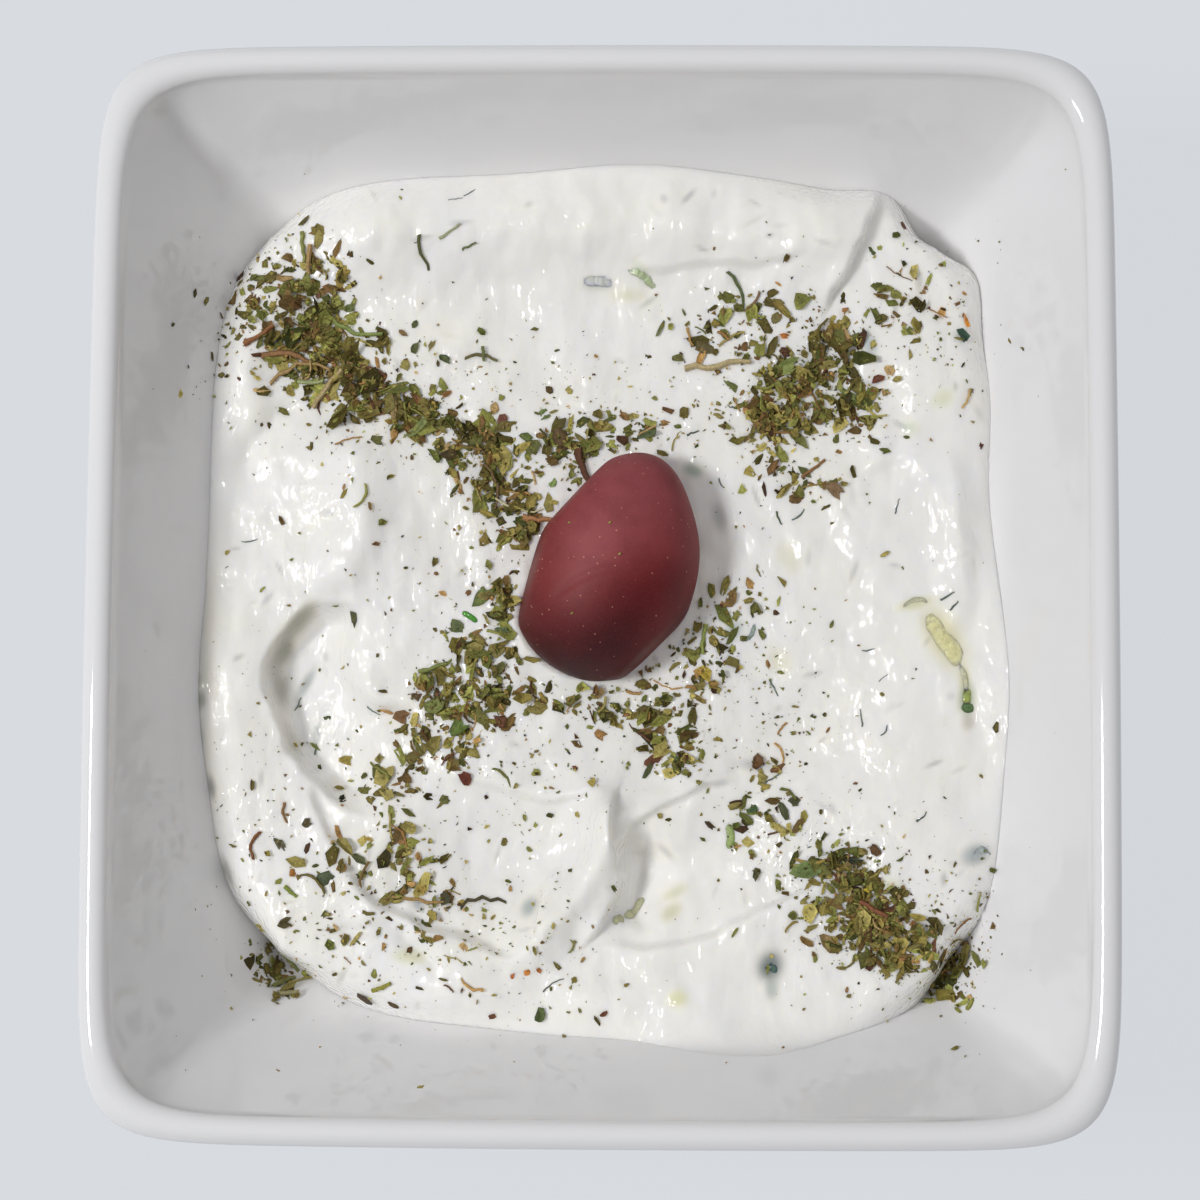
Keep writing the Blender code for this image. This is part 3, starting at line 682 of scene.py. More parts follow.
def yogurt():
    """Strained yogurt: bright, faintly warm, light spreading a millimetre or so under a moist, curdy skin."""
    surface, tree, shader = new_material("strained_yogurt")
    # the vertex tint brings the yogurt's colour together with its painted shade
    tint = add_node(tree, "ShaderNodeAttribute", attribute_name="tint")
    tree.links.new(tint.outputs["Color"], shader.inputs["Base Color"])
    place = add_node(tree, "ShaderNodeTexCoord").outputs["Object"]
    # curds about half a millimetre across, drawn out towards the front by the spoon
    drawn = add_node(tree, "ShaderNodeMapping", [("Vector", place)], Scale=(1.0, 0.4, 1.0))
    curd = add_node(tree, "ShaderNodeTexNoise", [("Vector", drawn.outputs["Vector"])], Scale=1.8 / MM,
                    Detail=0.5, Distortion=0.5)
    # the film of whey over them glints far more than the curds themselves
    for socket, strength, depth in (("Normal", 0.12, 0.20), ("Coat Normal", 1.0, 0.21)):
        bump = add_node(tree, "ShaderNodeBump", [("Height", curd.outputs["Fac"])], Strength=strength,
                        Distance=depth * MM)
        tree.links.new(bump.outputs["Normal"], shader.inputs[socket])
    set_inputs(shader, Coat_Weight=1.0, Coat_Roughness=bpy.context.scene.tz_dip.roughness, Coat_IOR=1.36,
               Roughness=0.5, Specular_IOR_Level=0.25, Subsurface_Weight=0.7,
               Subsurface_Radius=(1.0, 0.95, 0.8), Subsurface_Scale=0.7 * MM)
    return surface


class DipSettings(bpy.types.PropertyGroup):
    colour: StringProperty(name="Colour", description="sRGB hex colour of the yogurt", default="#FCF8F2")
    roughness: FloatProperty(name="Roughness", description="Roughness of its moist skin", default=0.04,
                             min=0.0, max=1.0)
    streaks: IntProperty(name="Streaks", description="Number of dill bits that show through the yogurt",
                         default=150, min=0)


class TZ_OT_dip(bpy.types.Operator):
    """Make the tzatziki that fills the dish"""
    bl_idname = "tz.dip"
    bl_label = "Dip"

    def execute(self, context):
        bm = bmesh.new()
        bmesh.ops.create_grid(bm, x_segments=DIP_CELLS_X, y_segments=DIP_CELLS_Y, size=1.0)
        plan = np.array([vert.co.to_tuple() for vert in bm.verts])[:, :2]
        for vert, place in zip(bm.verts, dip_points(plan[:, 0], plan[:, 1])):
            vert.co = place
        edges = [edge for edge in bm.edges if edge.is_boundary]
        for height in (DIP_WAIST, FLOOR_HEIGHT + FLOOR_FILLET):
            made = bmesh.ops.extrude_edge_only(bm, edges=edges)["geom"]
            edges = [item for item in made if isinstance(item, bmesh.types.BMEdge)]
            half_x = DISH_WIDTH / 2 - inner_inset(height) + DIP_INTO_WALL
            half_y = DISH_LENGTH / 2 - inner_inset(height) + DIP_INTO_WALL
            for vert in (item for item in made if isinstance(item, bmesh.types.BMVert)):
                power_s = abs(vert.co.x / half_x) ** CREASE_SQUARENESS
                power_t = abs(vert.co.y / half_y) ** CREASE_SQUARENESS
                reach = (power_s + power_t) ** (1.0 / CREASE_SQUARENESS)
                vert.co = (vert.co.x / reach, vert.co.y / reach, min(height, vert.co.z - DIP_DROP))
        bmesh.ops.contextual_create(bm, geom=edges)
        places = np.array([vert.co.to_tuple() for vert in bm.verts])
        piece = finish_piece("tzatziki_dip", bm, yogurt(), "tzatziki")
        paint(piece.data, dip_tint(places[:, 0], places[:, 1], context.scene.tz_dip.colour))
        return {"FINISHED"}


# Olive ------------------------------------------------------------------------------------------------------

def olive_skin():
    """Olive skin: dark wine red under a thin dusty bloom, with fine pale dots."""
    surface, tree, shader = new_material("olive_skin")
    settings = bpy.context.scene.tz_olive
    place = add_node(tree, "ShaderNodeTexCoord").outputs["Object"]
    # the vertex tint brings the skin's ground colour with its painted sheen and shade
    patches = add_node(tree, "ShaderNodeAttribute", attribute_name="tint")
    # darker clouds about 4 mm across
    cloud = add_node(tree, "ShaderNodeTexNoise", [("Vector", place)], Scale=0.23 / MM, Detail=5.0,
                     Roughness=0.6)
    deep = add_node(tree, "ShaderNodeMapRange", [("Value", cloud.outputs["Fac"])], From_Min=0.42,
                    From_Max=0.7, To_Min=0.0, To_Max=0.4)
    skin = add_node(tree, "ShaderNodeMix",
                    [("Factor", deep.outputs["Result"]), ("A", patches.outputs["Color"])],
                    data_type="RGBA", B=linear(settings.deep_colour))
    # dusty bloom in grains of a fifth of a millimetre
    grain = add_node(tree, "ShaderNodeTexNoise", [("Vector", place)], Scale=5.2 / MM, Detail=2.0)
    bloom = add_node(tree, "ShaderNodeMapRange", [("Value", grain.outputs["Fac"])], From_Min=0.35,
                     From_Max=0.75, To_Min=0.0, To_Max=0.06)
    dusty = add_node(tree, "ShaderNodeMix",
                     [("Factor", bloom.outputs["Result"]), ("A", skin.outputs["Result"])],
                     data_type="RGBA", B=linear(settings.bloom_colour))
    # pale dots under 1 mm apart, gathered into clusters
    cells = add_node(tree, "ShaderNodeTexVoronoi", [("Vector", place)], Scale=1.35 / MM)
    cluster = add_node(tree, "ShaderNodeTexNoise", [("Vector", place)], Scale=0.42 / MM, Detail=1.0)
    size = add_node(tree, "ShaderNodeMapRange", [("Value", cluster.outputs["Fac"])], From_Min=0.42,
                    From_Max=0.66, To_Min=0.045, To_Max=0.13)
    dot = add_node(tree, "ShaderNodeMath", [(0, cells.outputs["Distance"]), (1, size.outputs["Result"])],
                   operation="LESS_THAN")
    faint = add_node(tree, "ShaderNodeMath", [(0, dot.outputs["Value"])], operation="MULTIPLY")
    faint.inputs[1].default_value = DOT_STRENGTH
    dotted = add_node(tree, "ShaderNodeMix",
                      [("Factor", faint.outputs["Value"]), ("A", dusty.outputs["Result"])],
                      data_type="RGBA", B=linear(settings.dot_colour))
    tree.links.new(dotted.outputs["Result"], shader.inputs["Base Color"])
    # shallow dimples of about 0.4 mm
    dimple = add_node(tree, "ShaderNodeTexNoise", [("Vector", place)], Scale=2.6 / MM, Detail=3.0)
    bump = add_node(tree, "ShaderNodeBump", [("Height", dimple.outputs["Fac"])], Strength=0.25,
                    Distance=0.06 * MM)
    tree.links.new(bump.outputs["Normal"], shader.inputs["Normal"])
    set_inputs(shader, Roughness=settings.roughness, Specular_IOR_Level=0.27, Subsurface_Weight=0.15,
               Subsurface_Radius=(1.0, 0.25, 0.2), Subsurface_Scale=1.0 * MM)
    return surface


class OliveSettings(bpy.types.PropertyGroup):
    colour: StringProperty(name="Colour", description="sRGB hex colour of the skin", default="#84292B")
    deep_colour: StringProperty(name="Deep colour", description="sRGB hex colour of the skin's darker clouds",
                                default="#5A1218")
    bloom_colour: StringProperty(name="Bloom", description="sRGB hex colour of the dusty bloom",
                                 default="#A87074")
    dot_colour: StringProperty(name="Dots", description="sRGB hex colour of the pale dots", default="#C99A78")
    roughness: FloatProperty(name="Roughness", description="Roughness of the skin", default=0.56,
                             min=0.0, max=1.0)


def facing(azimuth, elevation):
    """The direction with an azimuth and an elevation, in degrees."""
    azimuth, elevation = math.radians(azimuth), math.radians(elevation)
    return Vector((math.cos(azimuth) * math.cos(elevation), math.sin(azimuth) * math.cos(elevation),
                   math.sin(elevation)))


def shape_egg(bm):
    """Make a unit sphere the olive's egg, blunt at its lower end, turned the way the olive lies."""
    turn = facing(90.0 - OLIVE_HEADING, OLIVE_TILT).to_track_quat("Z", "Y").to_matrix()
    for vert in bm.verts:
        across = math.hypot(vert.co.x, vert.co.y)
        u = vert.co.z
        if across > 0.0:
            radius = max(1.0 - abs(u) ** OLIVE_FULLNESS[u > 0.0], 0.0) ** 0.5 * (1.0 - OLIVE_TAPER * u)
            vert.co.x *= radius * OLIVE_WIDTH / 2 / across
            vert.co.y *= radius * OLIVE_WIDTH / 2 / across
        vert.co.z = u * OLIVE_LENGTH / 2
        vert.co = turn @ vert.co * OLIVE_SHRINK


def flatten_egg(bm):
    """Press the flats, the facets and the crease into the olive."""
    for azimuth, elevation, spread, depth in OLIVE_FLATS:
        way = facing(azimuth, elevation)
        for vert in bm.verts:
            away = math.degrees(vert.co.angle(way)) / spread
            vert.co -= vert.co.normalized() * depth * math.exp(-away * away)
    for azimuth, elevation, limit in OLIVE_FACETS:
        way = facing(azimuth, elevation)
        for vert in bm.verts:
            past = max(vert.co.dot(way) - limit, 0.0)
            vert.co -= way * (past - OLIVE_GIVE * (1.0 - math.exp(-past / OLIVE_GIVE)))
    plan = np.array([vert.co.to_tuple() for vert in bm.verts])
    distance, fade = from_curve(plan[:, 0], plan[:, 1], OLIVE_CREASE)
    crease = OLIVE_CREASE_DEPTH * fade * np.exp(-(distance / OLIVE_CREASE_WIDTH) ** 2)
    for vert, depth, height in zip(bm.verts, crease, plan[:, 2]):
        if height > 0.0:
            vert.co -= vert.co.normalized() * float(depth)
    return plan


def olive_tint(bm, plan, colour):
    """Colour of the skin at each vertex: its ground, with painted shade round the waist and patches of
    painted sheen, dark reflection and shade by the way each part faces.
    """
    tint = rgb(colour) * np.ones((len(plan), 3))
    spread, colour, strength = OLIVE_RIM_SHADE
    waist = np.degrees(np.arcsin(plan[:, 2] / np.linalg.norm(plan, axis=1))) / spread
    covers = [(waist, colour, strength)]
    for azimuth, elevation, spread, colour, strength in OLIVE_SHEEN_AND_SHADE:
        way = facing(azimuth, elevation)
        away = np.array([math.degrees(vert.co.angle(way)) for vert in bm.verts]) / spread
        covers.append((away, colour, strength))
    for away, colour, strength in covers:
        cover = (strength * np.exp(-away * away))[:, None]
        tint = tint * (1.0 - cover) + rgb(colour) * cover
    return tint


class TZ_OT_olive(bpy.types.Operator):
    """Make the olive pressed into the dip"""
    bl_idname = "tz.olive"
    bl_label = "Olive"

    def execute(self, context):
        bm = bmesh.new()
        bmesh.ops.create_uvsphere(bm, u_segments=OLIVE_AROUND, v_segments=OLIVE_ALONG, radius=1.0)
        shape_egg(bm)
        plan = flatten_egg(bm)
        tint = olive_tint(bm, plan, context.scene.tz_olive.colour)
        bmesh.ops.translate(bm, vec=OLIVE_CENTRE, verts=bm.verts)
        piece = finish_piece("olive_fruit", bm, olive_skin(), "olive")
        paint(piece.data, tint)
        return {"FINISHED"}


# What lies on the dip ---------------------------------------------------------------------------------------

GROUND_CELL = 0.25
GROUND_MARGIN = 2.0
REST_SHARE = 60  # per cent of the ground under a bit that lies below it
STEEPEST = 1.8
OLIVE_CLEARANCE = 0.5
UP = Vector((0.0, 0.0, 1.0))


def drop(tree, start):
    """Height at which a line straight down from a point meets a mesh, or 0 where it misses."""
    hit = tree.ray_cast(start, -UP)[0]
    return hit.z if hit else 0.0


def patch_slope(patch):
    """Mean slope in x and in y of a patch of the ground."""
    parts = np.gradient(patch, GROUND_CELL)
    slope_y, slope_x = (float(np.clip(part.mean(), -STEEPEST, STEEPEST)) for part in parts)
    return slope_x, slope_y


class Ground:
    """Height of whatever lies on top, on a grid in plan, so that each new bit lands on those before it."""

    def __init__(self):
        trees = []
        for name in ("dish_porcelain", "tzatziki_dip", "olive_fruit"):
            bm = bmesh.new()
            bm.from_mesh(bpy.data.objects[name].data)
            trees.append(BVHTree.FromBMesh(bm))
            bm.free()
        self.low_x = DISH_LOW.x + GROUND_MARGIN
        self.low_y = DISH_LOW.y + GROUND_MARGIN
        columns = int((DISH_WIDTH - 2 * GROUND_MARGIN) / GROUND_CELL)
        rows = int((DISH_LENGTH - 2 * GROUND_MARGIN) / GROUND_CELL)
        self.height = np.zeros((rows, columns))
        self.on_olive = np.zeros((rows, columns), bool)
        for row in range(rows):
            for column in range(columns):
                place = (self.low_x + column * GROUND_CELL, self.low_y + row * GROUND_CELL, DISH_HEIGHT * 2)
                levels = [drop(tree, Vector(place) * MM) for tree in trees]
                self.height[row, column] = max(levels) / MM
                self.on_olive[row, column] = levels[-1] == max(levels)
        self.bare = self.height.copy()

    def window(self, x, y, reach):
        """The rows and columns within reach of a plan position."""
        column, row = int((x - self.low_x) / GROUND_CELL + 0.5), int((y - self.low_y) / GROUND_CELL + 0.5)
        cells = max(1, int(reach / GROUND_CELL + 0.5))
        rows = slice(max(0, row - cells), row + cells + 1)
        columns = slice(max(0, column - cells), column + cells + 1)
        return rows, columns

    def lay(self, x, y, reach, thickness):
        """Land a bit of some reach; gives its height and the slope under it, and raises the ground there."""
        rows, columns = self.window(x, y, reach)
        patch = self.height[rows, columns]
        if min(patch.shape) < 2:
            return self.height.min(), 0.0, 0.0
        slopes = patch_slope(patch)
        level = float(np.percentile(patch, REST_SHARE))
        self.height[rows, columns] = np.maximum(patch, np.minimum(level + thickness, patch + thickness))
        return level, *slopes

    def at(self, x, y):
        """Height of the dip itself, without what lies on it."""
        return float(self.bare[self.window(x, y, GROUND_CELL)].mean())

    def under_olive(self, x, y):
        """Whether the olive covers this place or comes close to it."""
        return bool(self.on_olive[self.window(x, y, OLIVE_CLEARANCE)].any())

    def slope(self, x, y, reach):
        """Slope in x and in y of the dip under a bit of some reach."""
        patch = self.bare[self.window(x, y, reach)]
        return patch_slope(patch) if min(patch.shape) > 1 else (0.0, 0.0)


GROUND = []


def ground():
    """The one ground that all bits share, made when the first of them lands."""
    if not GROUND:
        GROUND.append(Ground())
    return GROUND[0]


# How irregular a bit of leaf is: shares of its corners' angle, its length, its width or its curl
CORNER_SHIFT = 0.35
CORNER_REACH = (0.6, 1.0)
NOTCH_CHANCE, NOTCH_REACH = 0.4, 0.45
INNER_RING, INNER_WANDER = 0.5, 0.03
CENTRE_WANDER = 0.05
CREASES = (0.0, 0.5, 0.5, 0.5)  # three bits in four are creased lengthways
CREASE_WANDER = 0.25
ROLL_CHANCE, FOLD_SLOPE = 0.6, 0.8
WAVINESS = 0.04


def leaf_bit(rng, length, width, corners, curl, thickness, fine):
    """A torn bit of leaf, rolled or folded: vertices, faces and how near each vertex lies to the rim."""
    angles = np.arange(corners) + rng.uniform(-CORNER_SHIFT, CORNER_SHIFT, corners)
    angles = angles * 2.0 * math.pi / corners
    radii = rng.uniform(*CORNER_REACH, corners)
    if corners > 4 and rng.random() < NOTCH_CHANCE:
        radii[0] *= NOTCH_REACH
    rim = np.stack([np.cos(angles) * radii * length / 2, np.sin(angles) * radii * width / 2], axis=1)
    rings = [rim]
    if fine:
        rings.append(rim * INNER_RING + rng.normal(0.0, INNER_WANDER, rim.shape) * width)
    plan = np.concatenate([*rings, rng.normal(0.0, CENTRE_WANDER, (1, 2)) * width])
    crease = rng.choice(CREASES) * math.pi + rng.normal(0.0, CREASE_WANDER)
    off_crease = plan @ (math.cos(crease), math.sin(crease))
    reach = np.abs(off_crease).max()
    rolled = off_crease ** 2 / reach if rng.random() < ROLL_CHANCE else np.abs(off_crease) * FOLD_SLOPE
    height = curl * rolled + rng.normal(0.0, WAVINESS, len(plan)) * width
    top = np.column_stack([plan, height + thickness / 2])
    bottom = np.column_stack([plan, height - thickness / 2])
    near_rim = np.zeros(len(plan))
    near_rim[:corners] = 1.0
    count, centre = len(plan), len(plan) - 1
    faces = []
    for index in range(corners):
        after = (index + 1) % corners
        if fine:
            faces.append((index, after, corners + after, corners + index))
            faces.append((corners + index, corners + after, centre))
        else:
            faces.append((index, after, centre))
    faces += [tuple(vert + count for vert in reversed(face)) for face in faces]
    faces += [(index + count, (index + 1) % corners + count, (index + 1) % corners, index)
              for index in range(corners)]
    return np.concatenate([top, bottom]), faces, np.concatenate([near_rim, near_rim])


STALK_SIDES, STALK_JOINTS = 6, 7
STALK_WANDER = 0.02
STALK_SWELL = (0.85, 1.15)


def twig(rng, length, radius, bend, taper):
    """A thin bent stalk along x, whose far end keeps a share of its radius."""
    joints, sides = STALK_JOINTS, STALK_SIDES
    place = np.linspace(-0.5, 0.5, joints) * length
    sideways = bend * length * ((place / length * 2) ** 2 - 0.5)
    sideways = sideways + rng.normal(0.0, STALK_WANDER, joints) * length
    verts, faces = [], []
    turns = np.arange(sides) * 2.0 * math.pi / sides
    for joint in range(joints):
        thick = radius * (1.0 - (1.0 - taper) * joint / (joints - 1)) * rng.uniform(*STALK_SWELL)
        for turn in turns:
            verts.append((place[joint], sideways[joint] + thick * math.cos(turn), thick * math.sin(turn)))
    for joint in range(joints - 1):
        for side in range(sides):
            a, b = joint * sides + side, joint * sides + (side + 1) % sides
            faces.append((a, a + sides, b + sides, b))
    faces.append(tuple(range(sides)))
    faces.append(tuple(range(len(verts) - 1, len(verts) - 1 - sides, -1)))
    near_rim = np.abs(np.array(verts)[:, 2]) / radius * 0.5
    return np.array(verts), faces, near_rim


BIT_CREASE = 20.0  # degrees, past which the edges of a bit stay crisp


class Litter:
    """Gathers small bits into one mesh with a colour for each vertex."""

    def __init__(self):
        self.verts, self.faces, self.colours, self.count = [], [], [], 0

    def add(self, bit, place, matrix, colour, margin, mottle=None):
        """Add a bit: where it lies, how it is turned, and its colours within and along its rim."""
        verts, faces, near_rim = bit
        self.verts.append(verts @ np.array(matrix).T + place)
        self.faces += [tuple(vert + self.count for vert in face) for face in faces]
        shade = near_rim[:, None]
        colours = np.array(colour) * (1.0 - shade) + np.array(margin) * shade
        self.colours.append(colours if mottle is None else colours * mottle[:, None])
        self.count += len(verts)

    def finish(self, name, surface):
        """Turn the bits, which are in millimetres, into one piece."""
        mesh = bpy.data.meshes.new(name)
        mesh.from_pydata(np.concatenate(self.verts) * MM, [], self.faces)
        paint(mesh, np.concatenate(self.colours))
        add_piece(name, mesh, surface, crisp=BIT_CREASE)


def on_slope(slope_x, slope_y):
    """Rotation that lays a level bit on a slope."""
    return Vector((-slope_x, -slope_y, 1.0)).normalized().rotation_difference(UP).inverted().to_matrix()


def resting(rng, slope_x, slope_y, tilt, turn):
    """Rotation of a bit that lies on a slope, turned in plan and rocked at random by about some degrees."""
    lean = Vector((*rng.normal(0.0, math.tan(math.radians(tilt)), 2), 1.0)).normalized()
    rock = UP.rotation_difference(lean).to_matrix()
    return on_slope(slope_x, slope_y) @ rock @ Matrix.Rotation(math.radians(turn), 3, "Z")


# Where the herbs lie thickest: x, y, reach in x, reach in y, turn in degrees, share of the bits
HEAPS = (
    (-31.5, 33.5, 3.2, 3.6, 0, 10),
    (-30.5, 27.5, 3.6, 3.8, 0, 17),
    (-26.0, 23.0, 3.8, 2.8, -30, 12),
    (-20.5, 20.0, 3.6, 2.2, -20, 10),
    (-14.0, 17.0, 3.6, 2.4, -20, 9),
    (-11.5, 12.0, 2.6, 3.4, 0, 7),
    (-8.5, 8.0, 1.8, 2.4, 0, 4),
    (-3.0, 15.5, 3.2, 2.4, 0, 5),
    (2.5, 18.6, 3.6, 1.8, 0, 3),
    (-37.0, 31.0, 2.4, 5.0, 0, 4),
    (20.5, 23.0, 3.8, 3.2, 0, 15),
    (25.0, 27.0, 2.8, 3.4, 0, 6),
    (17.5, 19.0, 2.8, 2.6, 0, 8),
    (26.0, 20.5, 3.0, 2.2, 0, 5),
    (20.5, 12.5, 3.2, 1.6, 0, 3),
    (14.5, 29.5, 3.6, 2.4, 0, 3),
    (31.0, 31.0, 2.8, 4.2, 0, 3),
    (-10.5, 0.5, 1.8, 2.0, 0, 4),
    (-13.5, -5.0, 2.6, 2.2, 0, 3),
    (-15.0, -10.5, 4.0, 2.6, 15, 11),
    (-18.0, -9.0, 1.6, 1.6, 0, 3),
    (-9.0, -9.0, 3.0, 2.4, 0, 3),
    (-17.5, -15.5, 3.2, 2.0, 0, 3),
    (0.0, -10.5, 3.4, 1.8, 0, 3),
    (5.0, -12.5, 3.4, 2.6, -30, 4),
    (10.0, -5.5, 2.8, 3.0, 0, 4),
    (7.5, -16.0, 2.8, 2.0, 0, 4),
    (15.0, -1.5, 2.2, 3.0, 0, 2),
    (17.0, -22.5, 4.0, 3.6, -35, 4),
    (24.5, -28.5, 3.4, 2.6, -30, 7),
    (27.5, -32.5, 3.8, 3.6, 0, 17),
    (31.5, -36.0, 3.6, 2.6, -20, 11),
    (37.2, -39.2, 1.8, 2.6, -35, 5),
    (-35.4, -39.4, 1.4, 2.6, 30, 3),
    (-29.0, -27.0, 3.4, 2.6, 0, 2),
    (-20.5, -27.5, 2.6, 3.0, 0, 3),
    (-22.0, -19.5, 3.6, 2.6, 0, 3),
    (-17.0, -32.0, 4.6, 2.0, 0, 2),
)
SCATTER = (  # thin scatter between the heaps
    (-24.0, -34.0, 11.0, 7.0, 0, 9),
    (-8.0, -37.0, 9.0, 6.0, 0, 4),
    (-12.0, -16.0, 12.0, 9.0, 0, 9),
    (-28.0, 24.0, 9.0, 10.0, -30, 8),
    (-39.0, 30.0, 2.5, 7.0, -25, 3),
    (-6.0, 20.0, 12.0, 7.0, 0, 8),
    (20.0, 24.0, 9.0, 9.0, 0, 12),
    (18.0, -12.0, 7.0, 10.0, 0, 6),
    (6.0, -8.0, 9.0, 8.0, 0, 7),
    (28.0, -32.0, 9.0, 8.0, -20, 9),
    (39.5, -34.0, 1.6, 6.0, -10, 2),
    (-36.0, -18.0, 5.0, 12.0, 0, 3),
    (36.0, 30.0, 5.0, 8.0, 0, 4),
    (-18.0, 2.0, 9.0, 9.0, 0, 3),
    (0.0, 0.0, 34.0, 38.0, 0, 4),
)
# Listed leaves: x, y, length, width, turn in degrees, sRGB colour
LEAVES = (
    (-37.0, 34.7, 2.6, 1.2, -10, "6E7042"), (-34.3, 20.3, 1.9, 0.8, -20, "6E6A36"),
    (-27.2, 31.4, 2.0, 1.2, 20, "6A7244"), (-20.2, 27.0, 1.6, 1.0, 80, "5E6440"),
    (-17.0, 25.9, 2.2, 0.8, -30, "5C6642"), (-18.5, 27.4, 1.8, 0.7, 70, "7E7448"),
    (-20.3, 29.6, 1.2, 0.8, 60, "565E3A"), (-21.6, 28.7, 1.4, 0.9, -30, "8C7450"),
    (-19.7, 18.4, 4.2, 1.3, 40, "7A8250"), (-8.2, 17.4, 2.4, 1.2, -20, "6E7C44"),
    (-6.3, 20.0, 2.6, 1.4, 20, "6A7846"), (-16.3, 15.4, 2.2, 1.6, 0, "54462E"),
    (-10.9, 19.3, 1.8, 1.4, 30, "704A3C"), (-34.3, 28.2, 1.2, 0.7, 20, "C8B03C"),
    (-24.0, 17.0, 2.0, 1.4, -20, "6C6C3C"), (19.6, 25.2, 3.0, 2.0, 20, "8E985A"),
    (17.9, 30.4, 2.4, 1.8, 30, "80784A"), (19.1, 28.4, 1.4, 0.8, -10, "BC7A40"),
    (5.9, 29.2, 3.0, 0.5, 60, "6A7048"), (10.6, 27.1, 3.0, 1.5, -20, "6A6040"),
    (7.9, 26.1, 1.8, 1.0, 5, "6E6C40"), (13.3, 23.2, 2.4, 1.6, -50, "666C3C"),
    (27.0, 28.4, 2.4, 1.4, 20, "6C6E40"), (26.0, 22.1, 3.4, 1.0, -40, "727C4A"),
    (29.0, 23.8, 2.0, 1.0, 25, "744838"), (37.9, 28.4, 2.4, 1.8, -60, "405A48"),
    (38.4, 30.2, 2.0, 0.6, -70, "CE8A3C"), (31.9, 40.7, 1.7, 1.2, 60, "6E4A34"),
    (28.4, 37.5, 1.4, 1.0, -40, "56603A"), (39.9, 16.8, 2.2, 0.9, 70, "5A3628"),
    (17.9, 14.3, 2.6, 1.2, 60, "80603A"), (21.2, 13.8, 2.4, 1.0, -40, "5E6438"),
    (24.5, 11.9, 3.2, 1.6, -40, "8E7456"), (20.3, 10.9, 2.6, 2.2, -10, "6C5636"),
    (-12.8, 0.6, 3.8, 2.0, 55, "6C7842"), (-15.6, -2.9, 3.8, 2.4, -15, "5C6440"),
    (-10.6, -3.1, 2.6, 0.7, -5, "5E6A48"), (-21.2, -12.3, 2.8, 1.6, -10, "80603F"),
    (-19.9, -10.1, 2.2, 1.6, 50, "604E36"), (-17.6, -11.1, 3.0, 2.2, 20, "868C52"),
    (-15.1, -13.4, 2.8, 2.2, 40, "6A7C3E"), (-26.6, -1.9, 2.2, 1.1, 80, "5E5E40"),
    (-29.4, -12.2, 1.5, 1.3, 0, "56643C"), (-27.5, -20.9, 1.6, 1.3, 50, "2A2419"),
    (-40.4, -22.0, 1.9, 1.2, -60, "3E4430"), (-14.4, -18.8, 2.0, 1.6, -60, "6C3C2E"),
    (-16.4, -20.8, 2.2, 1.5, 20, "66663C"), (-25.0, -41.9, 2.8, 1.4, -30, "5C4C3C"),
    (-21.9, -42.6, 1.7, 1.0, -35, "5A4A32"), (-16.5, -31.3, 1.9, 1.5, 60, "4E4C38"),
    (-33.1, -34.0, 2.0, 1.3, 20, "52492F"), (-28.8, -29.2, 2.8, 2.0, 40, "555E44"),
    (-25.4, -27.3, 3.0, 1.0, -25, "5C6040"), (-32.4, -28.8, 1.6, 1.0, -40, "9A6A34"),
    (-33.8, -25.9, 2.4, 1.1, -50, "66604A"), (-6.3, -43.4, 2.0, 1.5, 70, "5C6840"),
    (-7.7, -39.0, 1.3, 0.7, 20, "CC8440"), (-6.4, -38.8, 0.9, 0.5, -30, "C67C3E"),
    (-9.2, -39.4, 0.8, 0.5, 60, "C2763C"), (-11.4, -43.6, 1.1, 0.8, 30, "6A4430"),
    (21.5, -28.2, 4.0, 2.0, 15, "6C7A4A"), (26.2, -27.2, 3.4, 1.2, 20, "3E4434"),
    (27.7, -30.2, 1.1, 0.7, 0, "B8A63E"), (20.2, -21.0, 2.0, 1.4, -20, "4E4E36"),
    (19.1, -22.1, 2.8, 1.0, -60, "565A3A"), (15.8, -21.8, 1.6, 1.0, 50, "4A6040"),
    (16.2, -28.6, 1.6, 1.0, 70, "666444"), (11.4, -23.6, 1.9, 0.7, -35, "4E4230"),
    (7.5, -16.8, 3.0, 1.6, 80, "5E6844"), (4.8, -17.8, 2.6, 0.7, 60, "4E5434"),
    (10.7, -7.6, 2.4, 1.6, -60, "B09C44"), (11.6, -8.8, 1.4, 1.1, 0, "8E7440"),
    (-4.4, 17.2, 3.4, 2.0, -40, "6E5A3E"), (-5.4, 12.6, 2.8, 1.1, 60, "8CA060"),
    (4.4, 17.9, 2.8, 1.4, 10, "5A6444"), (-7.7, 16.6, 2.2, 1.8, 0, "66683C"),
    (0.3, -43.2, 1.3, 0.6, 30, "6A4230"), (-31.0, -23.6, 1.7, 1.2, 30, "5A5238"),
)
